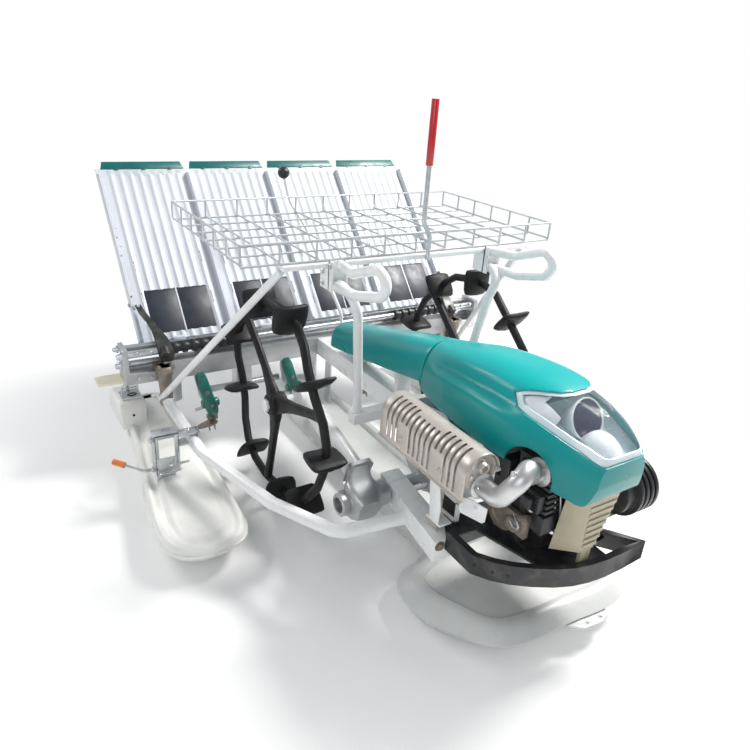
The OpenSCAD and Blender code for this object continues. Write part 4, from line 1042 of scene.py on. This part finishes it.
# stage, light, camera
def pale_floor():
    """A floor that keeps the object's shadow and turns white for the camera further out"""
    me = bpy.data.meshes.new("floor")
    me.from_pydata([(-14, -14, 0), (14, -14, 0), (14, 14, 0), (-14, 14, 0)], [], [(0, 1, 2, 3)])
    plane = add_object("floor", me)
    mat = material("floor_pale", (0.93, 0.93, 0.925), 0.8, vary=0.006, rough_vary=0.03, bump=0.0)
    me.materials.append(mat)
    n, l = mat.node_tree.nodes, mat.node_tree.links
    spot, far, glow, both = (n.new("ShaderNode" + k) for k in ("TexGradient", "MapRange",
            "Emission", "MixShader"))
    reach = n.new("ShaderNodeMapping")
    settings(reach, {"Scale": (0.2, 0.24, 0.2)})
    spot.gradient_type = "SPHERICAL"
    l.new(n["Texture Coordinate"].outputs["Object"], reach.inputs["Vector"])
    l.new(reach.outputs["Vector"], spot.inputs["Vector"])
    settings(far, {"From Min": 0.86, "From Max": 0.60, "To Min": 0.0, "To Max": 1.0})
    far.interpolation_type = "SMOOTHSTEP"
    l.new(spot.outputs["Fac"], far.inputs["Value"])
    seen, share = n.new("ShaderNodeLightPath"), n.new("ShaderNodeMath")
    share.operation = "MULTIPLY"
    l.new(far.outputs["Result"], share.inputs[0])
    l.new(seen.outputs["Is Camera Ray"], share.inputs[1])
    l.new(share.outputs[0], both.inputs[0])
    l.new(n["Principled BSDF"].outputs[0], both.inputs[1])
    l.new(glow.outputs[0], both.inputs[2])
    l.new(both.outputs[0], n["Material Output"].inputs["Surface"])


def studio_world():
    """A dim sky that lights the object, white where the camera sees it"""
    world = bpy.data.worlds.new("studio")
    bpy.context.scene.world = world
    world.use_nodes = True
    n, l = world.node_tree.nodes, world.node_tree.links
    n.clear()
    out, path = n.new("ShaderNodeOutputWorld"), n.new("ShaderNodeLightPath")
    sky, white, swap = (n.new("ShaderNode" + k) for k in ("Background", "Background", "MixShader"))
    settings(sky, {"Color": (0.93, 0.96, 1.0, 1), "Strength": 0.40})
    settings(white, {"Color": (1, 1, 1, 1), "Strength": 1.0})
    l.new(path.outputs["Is Camera Ray"], swap.inputs[0])
    l.new(sky.outputs[0], swap.inputs[1])
    l.new(white.outputs[0], swap.inputs[2])
    l.new(swap.outputs[0], out.inputs[0])


def area(name, at, to, size, power, color=(1, 1, 1)):
    """A rectangular lamp that points at a place, in metres and watts"""
    d = bpy.data.lights.new(name, "AREA")
    d.shape = "RECTANGLE"
    d.size, d.size_y = size
    d.energy = power
    d.color = color
    o = add_object(name, d)
    o.location = at
    o.rotation_euler = (Vector(to) - Vector(at)).to_track_quat("-Z", "Y").to_euler()


def photo_camera(at, azimuth, elevation, roll, focal, width):
    """The photograph's camera: its place in mm, its angles in degrees, focal length and width in pixels"""
    data = bpy.data.cameras.new("camera")
    cam = add_object("camera", data)
    bpy.context.scene.camera = cam
    data.sensor_width = 36
    data.lens = 36 * focal / width
    data.clip_end = 60
    az, el, tilt = (radians(v) for v in (azimuth, elevation, roll))
    back = Vector((sin(az) * cos(el), -cos(az) * cos(el), sin(el)))
    right = Vector((cos(az), sin(az), 0))
    up = back.cross(right)
    r = right * cos(tilt) + up * sin(tilt)
    u = up * cos(tilt) - right * sin(tilt)
    cam.matrix_world = Matrix.Translation(pt(at)) @ Matrix((r, u, back)).transposed().to_4x4()


pale_floor()
studio_world()
area("key", (0.5, 2.6, 3.7), (0.1, 0, 0.4), (1.3, 1.3), 300, (1.0, 0.985, 0.96))
area("fill", (3.2, -2.8, 2.4), (0.1, 0, 0.4), (3.0, 2.4), 42, (0.96, 0.98, 1.0))
area("rim", (-2.6, -2.2, 2.8), (0.0, 0, 0.4), (2.0, 1.4), 60)
photo_camera((1531.8, -1024.1, 1208.0), azimuth=56.6, elevation=24.8, roll=4.2, focal=656.6, width=750)
bpy.context.scene.view_settings.view_transform = "Standard"
